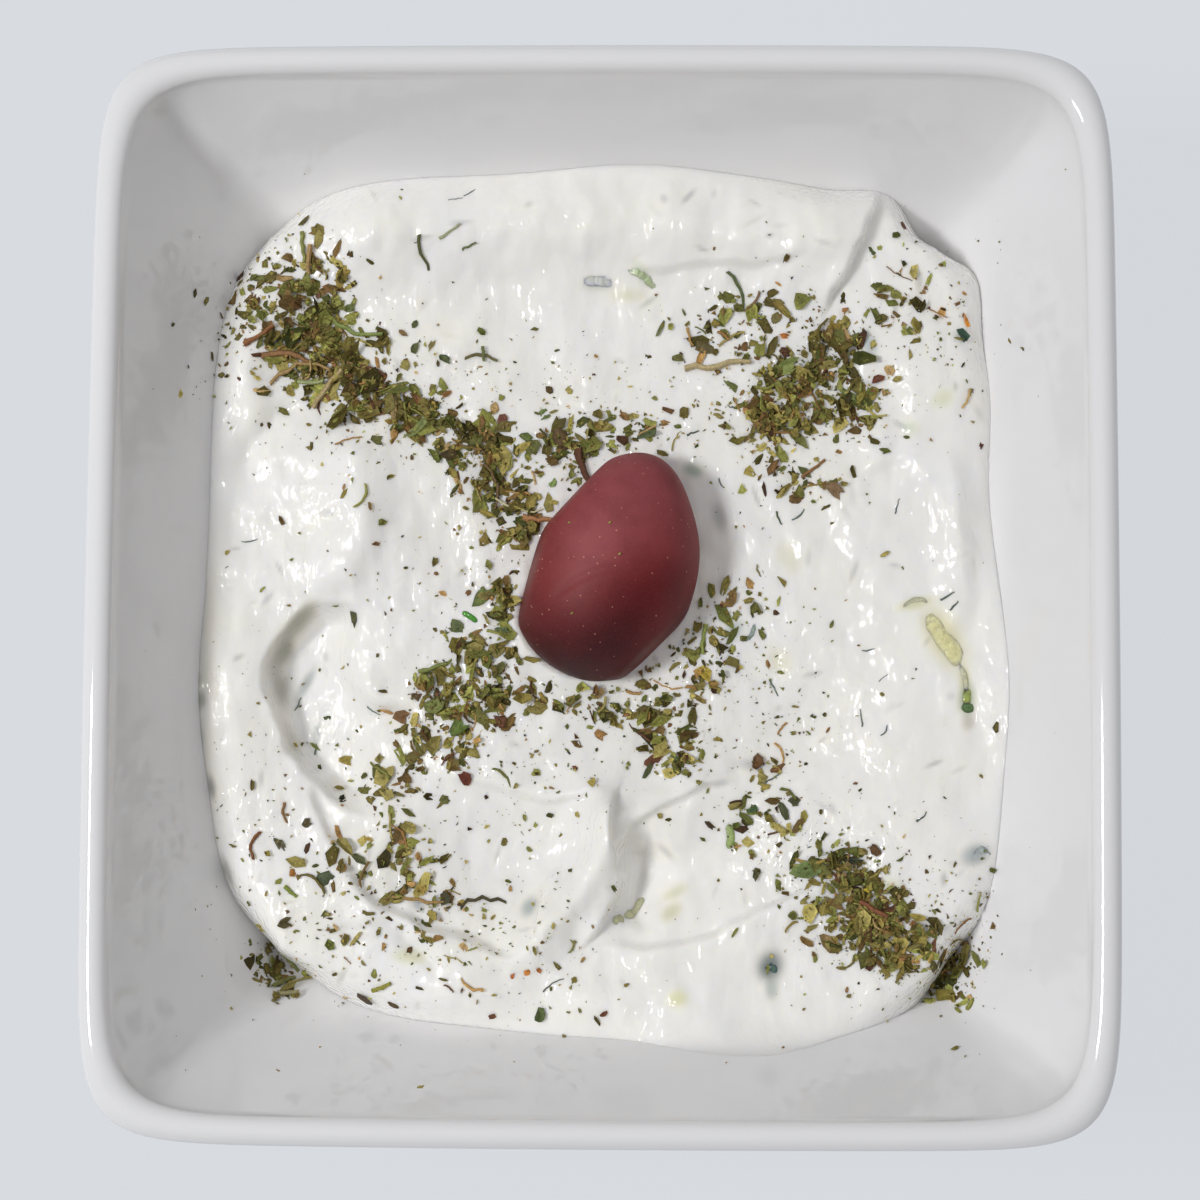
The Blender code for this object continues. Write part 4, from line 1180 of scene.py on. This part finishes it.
# Listed stems: ends, radius, bend, sRGB colour
STEMS = (
    (-29.5, 30.0, -23.8, 28.2, 0.26, 0.16, "808C50"), (-38.4, 27.2, -35.3, 29.4, 0.30, 0.05, "8A5E3E"),
    (-36.5, 26.5, -30.9, 25.6, 0.34, -0.10, "8E6A48"), (-35.8, 23.8, -29.4, 25.3, 0.24, -0.18, "A08458"),
    (-28.2, 24.8, -31.1, 20.6, 0.32, 0.02, "B09C74"), (-32.8, 23.3, -29.8, 23.3, 0.24, 0.05, "98A070"),
    (-32.5, 39.6, -32.1, 36.2, 0.26, 0.02, "86894E"), (-31.4, 38.1, -31.8, 35.0, 0.28, 0.05, "A4865A"),
    (-14.9, 26.2, -11.4, 26.0, 0.20, -0.10, "66603E"), (-13.0, 27.2, -12.9, 25.6, 0.18, 0.0, "6A7044"),
    (-20.0, 38.9, -18.8, 35.1, 0.19, 0.08, "5A5C3A"), (-17.6, 38.4, -15.4, 40.0, 0.16, 0.0, "A2A684"),
    (-15.2, 37.3, -13.7, 38.1, 0.14, 0.0, "666E4A"), (8.5, 25.0, 15.5, 25.6, 0.34, 0.03, "B0A078"),
    (13.3, 35.4, 15.0, 31.2, 0.18, -0.12, "5A6440"), (16.6, 33.0, 14.8, 31.0, 0.16, -0.12, "7E6648"),
    (-19.5, -7.6, -15.9, -6.4, 0.24, 0.02, "7E884E"), (-24.0, -41.2, -21.9, -40.1, 0.26, 0.0, "8E8A3E"),
    (-22.0, -31.2, -16.4, -32.0, 0.20, 0.02, "A28454"), (-14.9, -32.0, -10.1, -31.3, 0.22, -0.14, "504A34"),
    (-33.2, -30.2, -31.9, -31.3, 0.22, 0.0, "7C8A3C"), (-36.3, -24.4, -36.8, -27.4, 0.22, 0.2, "7A5030"),
    (-35.3, -41.2, -33.2, -39.2, 0.28, 0.0, "747848"), (-35.2, -41.6, -32.4, -41.3, 0.26, 0.05, "8E8864"),
    (-34.2, -36.7, -32.7, -39.4, 0.24, -0.1, "5E6238"), (26.9, -31.4, 29.7, -33.0, 0.28, 0.05, "7E5038"),
    (-8.6, 8.8, -5.2, 8.6, 0.34, 0.03, "AC7E56"), (-11.6, 10.6, -6.5, 9.3, 0.12, 0.10, "C8C09A"),
    (-12.3, 14.6, -11.2, 9.8, 0.20, -0.15, "6E5A40"), (-2.9, 16.2, -1.6, 12.6, 0.42, 0.10, "60402E"),
    (10.8, -2.4, 10.4, -5.6, 0.24, 0.04, "8C9650"), (18.2, 9.6, 18.8, 8.2, 0.10, 0.1, "4E5A3C"),
)
FLECKS = ((-3.4, 7.3), (0.9, 7.1), (1.9, 3.8), (-3.0, -2.2))  # on the olive
FLECK = (0.5, 0.3, 20.0, "9A9450")  # length, width, turn in degrees, colour
LIP_CLEARANCE = 1.0
HEAP_SPREAD = 0.72  # standard deviation of the places in a heap, as a share of its reach


def pick_place(rng, places):
    """A random plan position from a list of places, by their shares."""
    shares = np.array([place[-1] for place in places], float)
    x, y, reach_x, reach_y, turn, _ = places[rng.choice(len(places), p=shares / shares.sum())]
    angle = math.radians(turn)
    east, north = rng.normal(0.0, HEAP_SPREAD, 2) * (reach_x, reach_y)
    x += east * math.cos(angle) - north * math.sin(angle)
    y += east * math.sin(angle) + north * math.cos(angle)
    return x, y


def in_dish(x, y):
    """Whether a place lies well inside the lip."""
    margin = LIP_WIDTH + LIP_CLEARANCE
    return abs(x) < DISH_WIDTH / 2 - margin and abs(y) < DISH_LENGTH / 2 - margin


def palette(text, warmth):
    """The colours in a list of hex colours, warmed by factors on their linear red, green and blue."""
    return [rgb(part) * warmth for part in text.split()]


def mottled(name, grain, shades, bump=None, **settings):
    """A surface with each bit's own tint, darker and lighter in grains, which may stand out as well."""
    surface, tree, shader = new_material(name)
    tint = add_node(tree, "ShaderNodeAttribute", attribute_name="tint")
    place = add_node(tree, "ShaderNodeTexCoord").outputs["Object"]
    grains = add_node(tree, "ShaderNodeTexNoise", [("Vector", place)], **grain)
    light = add_node(tree, "ShaderNodeMapRange", [("Value", grains.outputs["Fac"])], **shades)
    tone = add_node(tree, "ShaderNodeVectorMath",
                    [(0, tint.outputs["Color"]), ("Scale", light.outputs["Result"])], operation="SCALE")
    tree.links.new(tone.outputs["Vector"], shader.inputs["Base Color"])
    if bump:
        relief = add_node(tree, "ShaderNodeBump", [("Height", grains.outputs["Fac"])], **bump)
        tree.links.new(relief.outputs["Normal"], shader.inputs["Normal"])
    set_inputs(shader, **settings)
    return surface


def dried_leaf():
    """Dried herb leaf: matt, rough, each bit with its own green or brown and a paler or browner torn rim."""
    # ribs and creases about 0.2 mm apart
    return mottled("dried_herb_leaf", dict(Scale=4.5 / MM, Detail=3.0, Roughness=0.65),
                   dict(From_Min=0.25, From_Max=0.75, To_Min=0.55, To_Max=1.45),
                   dict(Strength=0.6, Distance=0.08 * MM), Roughness=0.6, Specular_IOR_Level=0.2)


def cucumber_flesh():
    """Grated cucumber: wet, see-through pale green flesh with a darker rind, by the tint of each shred."""
    # fibres half a millimetre apart
    return mottled("grated_cucumber", dict(Scale=2.0 / MM, Detail=2.0, Roughness=0.6),
                   dict(From_Min=0.3, From_Max=0.7, To_Min=0.88, To_Max=1.1),
                   dict(Strength=1.0, Distance=0.2 * MM), Roughness=0.08, Subsurface_Weight=0.9,
                   Subsurface_Radius=(1.0, 1.0, 0.6), Subsurface_Scale=1.5 * MM)


def dill_leaf():
    """Fresh dill: thin dark blue-green threads, wet from the yogurt."""
    # veins a third of a millimetre apart
    return mottled("fresh_dill", dict(Scale=3.0 / MM, Detail=2.0),
                   dict(From_Min=0.3, From_Max=0.7, To_Min=0.6, To_Max=1.4), Roughness=0.3)


STRIP_SIDES = 10
STRIP_SWELL = (0.98, 1.02)
STRIP_BLUNTNESS = 4  # power by which a strip narrows towards its ends
STRIP_END = 0.06  # square of the share of its width that a strip keeps at its ends


def strip(rng, points, half_width, half_height):
    """A closed, flattened strip along points that lie in the order it runs, with rounded ends."""
    curve = [np.array(p, float) for p in points]
    verts, faces = [], []
    count, sides = len(curve), STRIP_SIDES
    turns = np.arange(sides) * 2.0 * math.pi / sides
    for index, place in enumerate(curve):
        run = curve[min(index + 1, count - 1)] - curve[max(index - 1, 0)]
        run = run / np.linalg.norm(run)
        sideways = np.cross((0.0, 0.0, 1.0), run)
        sideways /= np.linalg.norm(sideways)
        end = max(1.0 - abs(2.0 * index / (count - 1) - 1.0) ** STRIP_BLUNTNESS, STRIP_END) ** 0.5
        for turn in turns:
            swell = end * rng.uniform(*STRIP_SWELL)
            verts.append(place + sideways * half_width * swell * math.cos(turn)
                         + np.array((0.0, 0.0, half_height * swell * math.sin(turn))))
    for index in range(count - 1):
        for side in range(sides):
            a, b = index * sides + side, index * sides + (side + 1) % sides
            faces.append((a, b, b + sides, a + sides))
    faces.append(tuple(reversed(range(sides))))
    faces.append(tuple(range(len(verts) - sides, len(verts))))
    return np.array(verts), faces, np.zeros(len(verts))


# Cucumber shreds that show: half width, half height, how far they stand out, flesh colour, plan points
SHREDS = (
    (1.50, 0.60, 0.15, "#EDE6B0", ((34.1, -0.6), (34.7, -2.4), (35.7, -4.2), (36.8, -5.8), (37.7, -7.2))),
    (0.42, 0.30, 0.07, "#E6E5B4", ((31.0, -0.9), (32.4, 0.1), (33.6, 0.3), (34.3, -0.3))),
    (0.42, 0.30, 0.10, "#E4E2B0", ((37.4, -6.4), (38.0, -7.8), (38.1, -9.8))),
    (0.74, 0.45, 0.14, "#A2B05C", ((38.1, -9.0), (38.2, -9.9), (38.2, -10.9))),
    (0.72, 0.40, 0.14, "#5F7B4C", ((37.6, -10.9), (38.2, -11.1), (39.0, -10.9))),
    (0.85, 0.40, 0.10, "#CFCFA4", ((0.9, -33.9), (2.2, -33.5), (3.5, -32.6), (4.6, -31.2))),
    (0.70, 0.30, 0.05, "#C9DCA8", ((2.2, 35.6), (3.6, 35.4), (4.8, 34.4), (5.8, 33.4))),
    (1.05, 0.30, 0.04, "#E2E6D8", ((-2.6, 34.6), (-0.8, 34.8), (1.2, 34.2))),
    (0.55, 0.35, 0.14, "#A9BE78", ((13.2, -23.2), (13.5, -24.6), (13.3, -26.2))),
    (0.36, 0.30, 0.14, "#57A03C", ((-15.0, -1.2), (-14.2, -1.6), (-13.2, -2.3))),
    (0.45, 0.30, 0.04, "#A9BCAC", ((14.6, -4.4), (15.6, -3.4), (16.0, -1.8))),
    (1.00, 0.50, 0.06, "#56736A", ((17.2, -37.8), (17.8, -38.4), (18.0, -39.2))),
    (0.60, 0.30, 0.06, "#BFCBC2", ((38.2, -26.4), (39.6, -26.0), (40.8, -26.6))),
)
DILL_COLOUR = "#56635A"
# Threads of dill on the surface: x, y, turn in degrees, length, bend
THREADS = (
    (-37.6, 6.4, 10, 3.6, 0.10),
    (-14.6, 43.6, 35, 1.9, 0.05),
    (-16.0, 42.9, 12, 1.6, 0.0),
    (36.2, 0.6, 30, 1.7, 0.0),
    (36.9, -0.4, 48, 1.3, 0.0),
    (28.0, -5.0, 10, 1.5, 0.1),
    (29.6, -13.6, 60, 1.3, 0.2),
    (27.2, -12.2, 95, 1.9, 0.0),
    (17.8, -18.6, 32, 2.4, 0.05),
    (18.0, -9.0, -60, 2.0, 0.0),
    (20.6, 9.2, 40, 1.8, 0.1),
    (31.0, 10.2, 75, 1.7, 0.0),
    (-5.0, -40.2, 30, 2.6, -0.12),
    (-24.4, -11.6, -35, 1.6, 0.05),
    (9.4, 18.0, 20, 1.4, 0.0),
    (12.4, 12.6, -60, 1.2, 0.1),
    (-32.4, -10.4, 62, 3.4, 0.04),
    (-30.6, -15.2, 80, 2.0, 0.0),
    (33.4, -22.6, 40, 1.5, 0.1),
    (13.8, 20.8, 0, 1.3, 0.1),
)


SHRED_MOTTLE = (0.85, 1.15)  # factors on a shred's colour
# Loose dill: share of the dish that it spreads over, and the range of each measure
DILL_SPREAD = 0.38
DILL_LENGTH, DILL_RADIUS, DILL_BEND, DILL_TAPER = (0.7, 1.9), (0.08, 0.13), 0.08, 0.6
DILL_SHADES = (0.7, 1.5)  # factors on a thread's colour
DILL_DEPTHS = (0.6, 1.6)  # factors on how deep a loose thread lies


class FillingSettings(bpy.types.PropertyGroup):
    threads: IntProperty(name="Dill threads", description="Number of loose bits beside the chosen ones",
                         default=11, min=0)
    sunk: FloatProperty(name="Sunk", description="How deep the loose dill lies in the yogurt, in millimetres",
                        default=0.09, min=0.0)


class TZ_OT_cucumber(bpy.types.Operator):
    """Lay the shreds of cucumber in the top of the dip"""
    bl_idname = "tz.cucumber"
    bl_label = "Cucumber"

    def execute(self, context):
        rng = np.random.default_rng(SEED + 4)
        land = ground()
        litter = Litter()
        for half_width, half_height, out, colour, points in SHREDS:
            path = [(*place, land.at(*place) - half_height + out) for place in curve_through(points)]
            bit = strip(rng, path, half_width, half_height)
            base = rgb(colour)
            litter.add(bit, 0.0, np.eye(3), base, base, rng.uniform(*SHRED_MOTTLE, len(bit[0])))
        litter.finish("cucumber_shreds", cucumber_flesh())
        return {"FINISHED"}


class TZ_OT_dill(bpy.types.Operator):
    """Lay the threads of dill in the top of the dip"""
    bl_idname = "tz.dill"
    bl_label = "Dill"

    def execute(self, context):
        settings = context.scene.tz_filling
        rng = np.random.default_rng(SEED + 5)
        land = ground()
        litter = Litter()
        threads = list(THREADS)
        for _ in range(settings.threads):
            x, y = rng.uniform(-1.0, 1.0, 2) * (DISH_WIDTH * DILL_SPREAD, DISH_LENGTH * DILL_SPREAD)
            if not land.under_olive(x, y):
                threads.append((x, y, rng.uniform(0.0, 180.0), rng.uniform(*DILL_LENGTH),
                                rng.normal(0.0, DILL_BEND)))
        for index, (x, y, turn, length, bend) in enumerate(threads):
            radius = rng.uniform(*DILL_RADIUS)
            slope_x, slope_y = land.slope(x, y, length / 2)
            matrix = on_slope(slope_x, slope_y) @ Matrix.Rotation(math.radians(turn), 3, "Z")
            colour = rgb(DILL_COLOUR) * rng.uniform(*DILL_SHADES)
            sunk = 0.0 if index < len(THREADS) else settings.sunk * rng.uniform(*DILL_DEPTHS)
            bit = twig(rng, length, radius, bend, DILL_TAPER)
            litter.add(bit, (x, y, land.at(x, y) - sunk), matrix, colour, colour)
        litter.finish("dill_threads", dill_leaf())
        return {"FINISHED"}


# How each size of bit is made and strewn, in millimetres and degrees. Size is a factor outside and in the
# heaps, tilt is that of bits on the dip and of bits on others, and aspect is width by length.
KINDS = {
    "herb_leaf_bits": dict(
        in_heaps=0.86, size=(0.62, 1.1), length=1.72, spread=0.36, limits=(0.8, 3.8), aspect=(0.26, 0.74),
        thickness=(0.07, 0.12), rise=(0.08, 0.28), tilt=(7.0, 30.0), brown=0.12, corners=(5, 9), curl=0.5,
        fine=True, reach=0.16),
    "herb_crumbs": dict(
        in_heaps=0.6, size=(1.0, 1.0), length=0.55, spread=0.3, limits=(0.3, 1.1), aspect=(0.35, 0.9),
        thickness=(0.06, 0.12), rise=(0.0, 0.08), tilt=(14.0, 26.0), brown=0.25, corners=(3, 6), curl=0.35,
        fine=False, reach=0.3),
    "herb_dust": dict(
        in_heaps=0.45, size=(1.0, 1.0), length=0.17, spread=0.35, limits=(0.09, 0.34), aspect=(0.4, 0.9),
        thickness=(0.05, 0.09), rise=(0.0, 0.0), tilt=(20.0, 25.0), brown=0.45, corners=(3, 4), curl=0.0,
        fine=False, reach=0.3),
}
PILED = 0.25  # a bit this far above the dip lies on others
CHOSEN_TILT = 4.0
CHOSEN_CORNERS = 2  # more than a strewn leaf has
BIT_LIFT = 0.02
SHADES, RIM_SHADES, MOTTLE = (0.5, 1.3), (0.6, 1.4), (0.75, 1.25)  # factors on a bit's colour
GREEN_WARMTH, BROWN_WARMTH = (1.06, 0.94, 0.70), (1.05, 0.95, 0.78)  # factors on red, green and blue


class HerbSettings(bpy.types.PropertyGroup):
    leaves: IntProperty(name="Leaf bits", description="Number of larger bits of leaf", default=2200, min=0)
    crumbs: IntProperty(name="Crumbs", description="Number of small crumbs of leaf", default=2900, min=0)
    dust: IntProperty(name="Dust", description="Number of specks of herb dust", default=3000, min=0)
    stems: IntProperty(name="Stems", description="Number of bits of stem", default=130, min=0)
    leaf_colours: StringProperty(
        name="Leaf colours", description="sRGB hex colours of the leaf bits, before they are warmed",
        default="7A7446 8E8852 66623A 9C9866 54502C 727848 868E54 5E683A 949E62 786644 A8A46C")
    brown_colours: StringProperty(
        name="Brown colours", description="sRGB hex colours of brown bits and stems, before they are warmed",
        default="86684A 9A7A50 66483A AE9060 54402E BCA67C 8E8A4A 9A8C50")


def tones(settings):
    """The greens of the leaves and the browns."""
    return palette(settings.leaf_colours, GREEN_WARMTH), palette(settings.brown_colours, BROWN_WARMTH)


def strew(name, count, seed, chosen=(), flecks=()):
    """Strew bits of one size over the dip, then lay the listed ones and the flecks where they belong."""
    kind = KINDS[name]
    rng = np.random.default_rng(seed)
    land = ground()
    greens, browns = tones(bpy.context.scene.tz_herbs)
    litter = Litter()
    places = []
    for _ in range(count):
        in_heap = rng.random() < kind["in_heaps"]
        x, y = pick_place(rng, HEAPS if in_heap else SCATTER)
        if in_dish(x, y) and not land.under_olive(x, y):
            places.append((x, y, kind["size"][in_heap], None))
    places += [(x, y, 1.0, given) for x, y, *given in chosen]
    places += [(x, y, 1.0, FLECK) for x, y in flecks]
    for x, y, size, given in places:
        thickness = rng.uniform(*kind["thickness"])
        if given:
            length, width, turn, colour = given
            colour = rgb(colour)
        else:
            length = kind["length"] * size * rng.lognormal(0.0, kind["spread"])
            length = float(np.clip(length, *kind["limits"]))
            width = length * rng.uniform(*kind["aspect"])
            turn = rng.uniform(0.0, 360.0)
            choices = browns if rng.random() < kind["brown"] else greens
            colour = choices[rng.integers(len(choices))] * rng.uniform(*SHADES)
        reach = (length + width) / 2 * kind["reach"]
        level, slope_x, slope_y = land.lay(x, y, reach, rng.uniform(*kind["rise"]))
        tilt = CHOSEN_TILT if given else kind["tilt"][level - land.at(x, y) > PILED]
        matrix = resting(rng, slope_x, slope_y, tilt, turn)
        corners = int(rng.integers(*kind["corners"])) + CHOSEN_CORNERS * bool(given)
        bit = leaf_bit(rng, length, width, corners, rng.normal(0.0, kind["curl"]), thickness, kind["fine"])
        litter.add(bit, (x, y, level + thickness / 2 + BIT_LIFT), matrix, colour,
                   colour * rng.uniform(*RIM_SHADES), rng.uniform(*MOTTLE, len(bit[0])))
    litter.finish(name, dried_leaf())


class TZ_OT_leaves(bpy.types.Operator):
    """Strew the larger bits of dried leaf"""
    bl_idname = "tz.leaves"
    bl_label = "Leaf bits"

    def execute(self, context):
        strew("herb_leaf_bits", context.scene.tz_herbs.leaves, SEED, chosen=LEAVES)
        return {"FINISHED"}


class TZ_OT_crumbs(bpy.types.Operator):
    """Strew the small crumbs of dried leaf"""
    bl_idname = "tz.crumbs"
    bl_label = "Crumbs"

    def execute(self, context):
        strew("herb_crumbs", context.scene.tz_herbs.crumbs, SEED + 1, flecks=FLECKS)
        return {"FINISHED"}


class TZ_OT_dust(bpy.types.Operator):
    """Strew the dust of the herbs"""
    bl_idname = "tz.dust"
    bl_label = "Dust"

    def execute(self, context):
        strew("herb_dust", context.scene.tz_herbs.dust, SEED + 2)
        return {"FINISHED"}


STEM_IN_HEAPS, STEM_BROWN = 0.75, 0.6
STEM_LENGTH, STEM_RADIUS, STEM_BEND, STEM_TAPER = (1.0, 3.4), (0.07, 0.2), 0.12, 0.8
STEM_REST = 0.2  # share of its length on which a stem rests
STEM_LIFT = 0.8
STEM_SHADES, STEM_RIM_SHADE = (0.8, 1.2), 1.25  # factors on a stem's colour


class TZ_OT_stems(bpy.types.Operator):
    """Strew the bits of stem"""
    bl_idname = "tz.stems"
    bl_label = "Stems"

    def execute(self, context):
        rng = np.random.default_rng(SEED + 3)
        land = ground()
        greens, browns = tones(context.scene.tz_herbs)
        litter = Litter()
        stems = []
        for _ in range(context.scene.tz_herbs.stems):
            x, y = pick_place(rng, HEAPS if rng.random() < STEM_IN_HEAPS else SCATTER)
            if in_dish(x, y) and not land.under_olive(x, y):
                choices = browns if rng.random() < STEM_BROWN else greens
                stems.append((x, y, rng.uniform(*STEM_LENGTH), rng.uniform(*STEM_RADIUS),
                              rng.uniform(0.0, 360.0), rng.normal(0.0, STEM_BEND),
                              choices[rng.integers(len(choices))] * rng.uniform(*STEM_SHADES)))
        for x, y, end_x, end_y, radius, bend, colour in STEMS:
            run_x, run_y = end_x - x, end_y - y
            stems.append((x + run_x / 2, y + run_y / 2, math.hypot(run_x, run_y), radius,
                          math.degrees(math.atan2(run_y, run_x)), bend, rgb(colour)))
        for x, y, length, radius, turn, bend, colour in stems:
            level, slope_x, slope_y = land.lay(x, y, length * STEM_REST, radius)
            matrix = resting(rng, slope_x, slope_y, CHOSEN_TILT, turn)
            bit = twig(rng, length, radius, bend, STEM_TAPER)
            litter.add(bit, (x, y, level + radius * STEM_LIFT), matrix, colour, colour * STEM_RIM_SHADE)
        litter.finish("herb_stems", dried_leaf())
        return {"FINISHED"}


# Stage ------------------------------------------------------------------------------------------------------

CAMERA_PLACE = Vector((8.54, -33.33, 359.84))
CAMERA_PITCH, CAMERA_YAW, CAMERA_ROLL = 5.743, 1.525, 0.199
CAMERA_LENS, CAMERA_SENSOR, CAMERA_NEAR = 95.0, 36.0, 0.01
FLOOR_REACH = 1.5
STAGE_CENTRE = Vector((0.0, 0.0, 0.03))

# name, azimuth, elevation, distance in metres, width and height seen from the dish in degrees, power in watts
LIGHTS = (
    ("key", 184.0, 55.0, 0.9, 11.0, 11.0, 4.3),
    ("top", 180.0, 89.0, 0.9, 60.0, 60.0, 0.9),
    ("right", 0.0, 40.0, 0.9, 50.0, 45.0, 0.54),
    ("back", 90.0, 40.0, 0.9, 50.0, 45.0, 0.33),
)


class StageSettings(bpy.types.PropertyGroup):
    floor_colour: StringProperty(name="Floor colour", description="sRGB hex colour of the floor",
                                 default="#D8DBE0")
    floor_shade: StringProperty(name="Floor shade", description="sRGB hex colour of the light it returns",
                                default="#46484B")
    floor_glow: FloatProperty(name="Floor glow", description="Light that the backlit floor gives off",
                              default=0.915, min=0.0)
    ambient: FloatProperty(name="Ambient light", description="Strength of the light from all round",
                           default=0.25, min=0.0)
    brightness: FloatProperty(name="Brightness", description="Factor on the power of every lamp",
                              default=1.0, min=0.0)


def area_light(name, azimuth, elevation, distance, width, height, power):
    """A soft rectangular lamp that faces the dish."""
    data = bpy.data.lights.new(name, "AREA")
    data.shape = "RECTANGLE"
    data.size = 2.0 * distance * math.tan(math.radians(width / 2))
    data.size_y = 2.0 * distance * math.tan(math.radians(height / 2))
    data.energy = power
    light = bpy.data.objects.new(name, data)
    place = facing(azimuth, elevation) * distance
    light.location = STAGE_CENTRE + place
    light.rotation_euler = place.to_track_quat("Z", "Y").to_euler()
    bpy.context.scene.collection.objects.link(light)


def backdrop_paper(settings):
    """Pale backdrop paper: matt, and glowing softly as if lit from behind."""
    surface, _, shader = new_material("pale_backdrop_paper")
    set_inputs(shader, Base_Color=linear(settings.floor_shade), Roughness=0.9, Specular_IOR_Level=0.2,
               Emission_Color=linear(settings.floor_colour), Emission_Strength=settings.floor_glow)
    return surface


class TZ_OT_stage(bpy.types.Operator):
    """Make the floor, the lights and the camera"""
    bl_idname = "tz.stage"
    bl_label = "Stage"

    def execute(self, context):
        scene = context.scene
        settings = scene.tz_stage
        bm = bmesh.new()
        bmesh.ops.create_grid(bm, x_segments=1, y_segments=1, size=FLOOR_REACH)
        mesh = bpy.data.meshes.new("floor")
        bm.to_mesh(mesh)
        bm.free()
        mesh.materials.append(backdrop_paper(settings))
        floor = bpy.data.objects.new("floor", mesh)
        scene.collection.objects.link(floor)

        world = bpy.data.worlds.new("studio")
        world.use_nodes = True
        set_inputs(world.node_tree.nodes["Background"], Color=(1.0, 1.0, 1.0, 1.0), Strength=settings.ambient)
        scene.world = world
        for values in LIGHTS:
            area_light(*values[:-1], values[-1] * settings.brightness)

        data = bpy.data.cameras.new("camera")
        data.lens = CAMERA_LENS
        data.sensor_width = CAMERA_SENSOR
        data.clip_start = CAMERA_NEAR
        camera = bpy.data.objects.new("camera", data)
        camera.location = CAMERA_PLACE * MM
        turns = zip((CAMERA_PITCH, CAMERA_YAW, CAMERA_ROLL), "XYZ")
        pitch, yaw, roll = (Matrix.Rotation(math.radians(angle), 3, axis) for angle, axis in turns)
        camera.rotation_euler = (pitch @ yaw @ roll).to_euler()
        scene.collection.objects.link(camera)
        scene.camera = camera
        scene.view_settings.view_transform = "Standard"
        return {"FINISHED"}


class TZ_PT_panel(bpy.types.Panel):
    bl_idname = "TZ_PT_panel"
    bl_label = "Tzatziki"
    bl_space_type = "VIEW_3D"
    bl_region_type = "UI"
    bl_category = "Tzatziki"

    def draw(self, context):
        for operator in OPERATORS:
            self.layout.operator(operator.bl_idname)
        for group in SETTINGS:
            box = self.layout.box()
            box.label(text=group)
            settings = getattr(context.scene, group)
            for name in settings.__annotations__:
                box.prop(settings, name)


OPERATORS = (TZ_OT_dish, TZ_OT_dip, TZ_OT_olive, TZ_OT_cucumber, TZ_OT_dill, TZ_OT_leaves, TZ_OT_stems,
             TZ_OT_crumbs, TZ_OT_dust, TZ_OT_stage)
SETTINGS = {"tz_dish": DishSettings, "tz_dip": DipSettings, "tz_olive": OliveSettings,
            "tz_filling": FillingSettings, "tz_herbs": HerbSettings, "tz_stage": StageSettings}


def register():
    for group in SETTINGS.values():
        bpy.utils.register_class(group)
    for name, group in SETTINGS.items():
        setattr(bpy.types.Scene, name, PointerProperty(type=group))
    for operator in (*OPERATORS, TZ_PT_panel):
        bpy.utils.register_class(operator)


def unregister():
    for operator in (TZ_PT_panel, *reversed(OPERATORS)):
        bpy.utils.unregister_class(operator)
    for name, group in SETTINGS.items():
        delattr(bpy.types.Scene, name)
        bpy.utils.unregister_class(group)


def main():
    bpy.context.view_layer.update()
    register()
    bpy.ops.tz.dish()
    bpy.ops.tz.dip()
    bpy.ops.tz.olive()
    bpy.ops.tz.cucumber()
    bpy.ops.tz.dill()
    bpy.ops.tz.leaves()
    bpy.ops.tz.stems()
    bpy.ops.tz.crumbs()
    bpy.ops.tz.dust()
    bpy.ops.tz.stage()


if __name__ == "__main__":
    main()
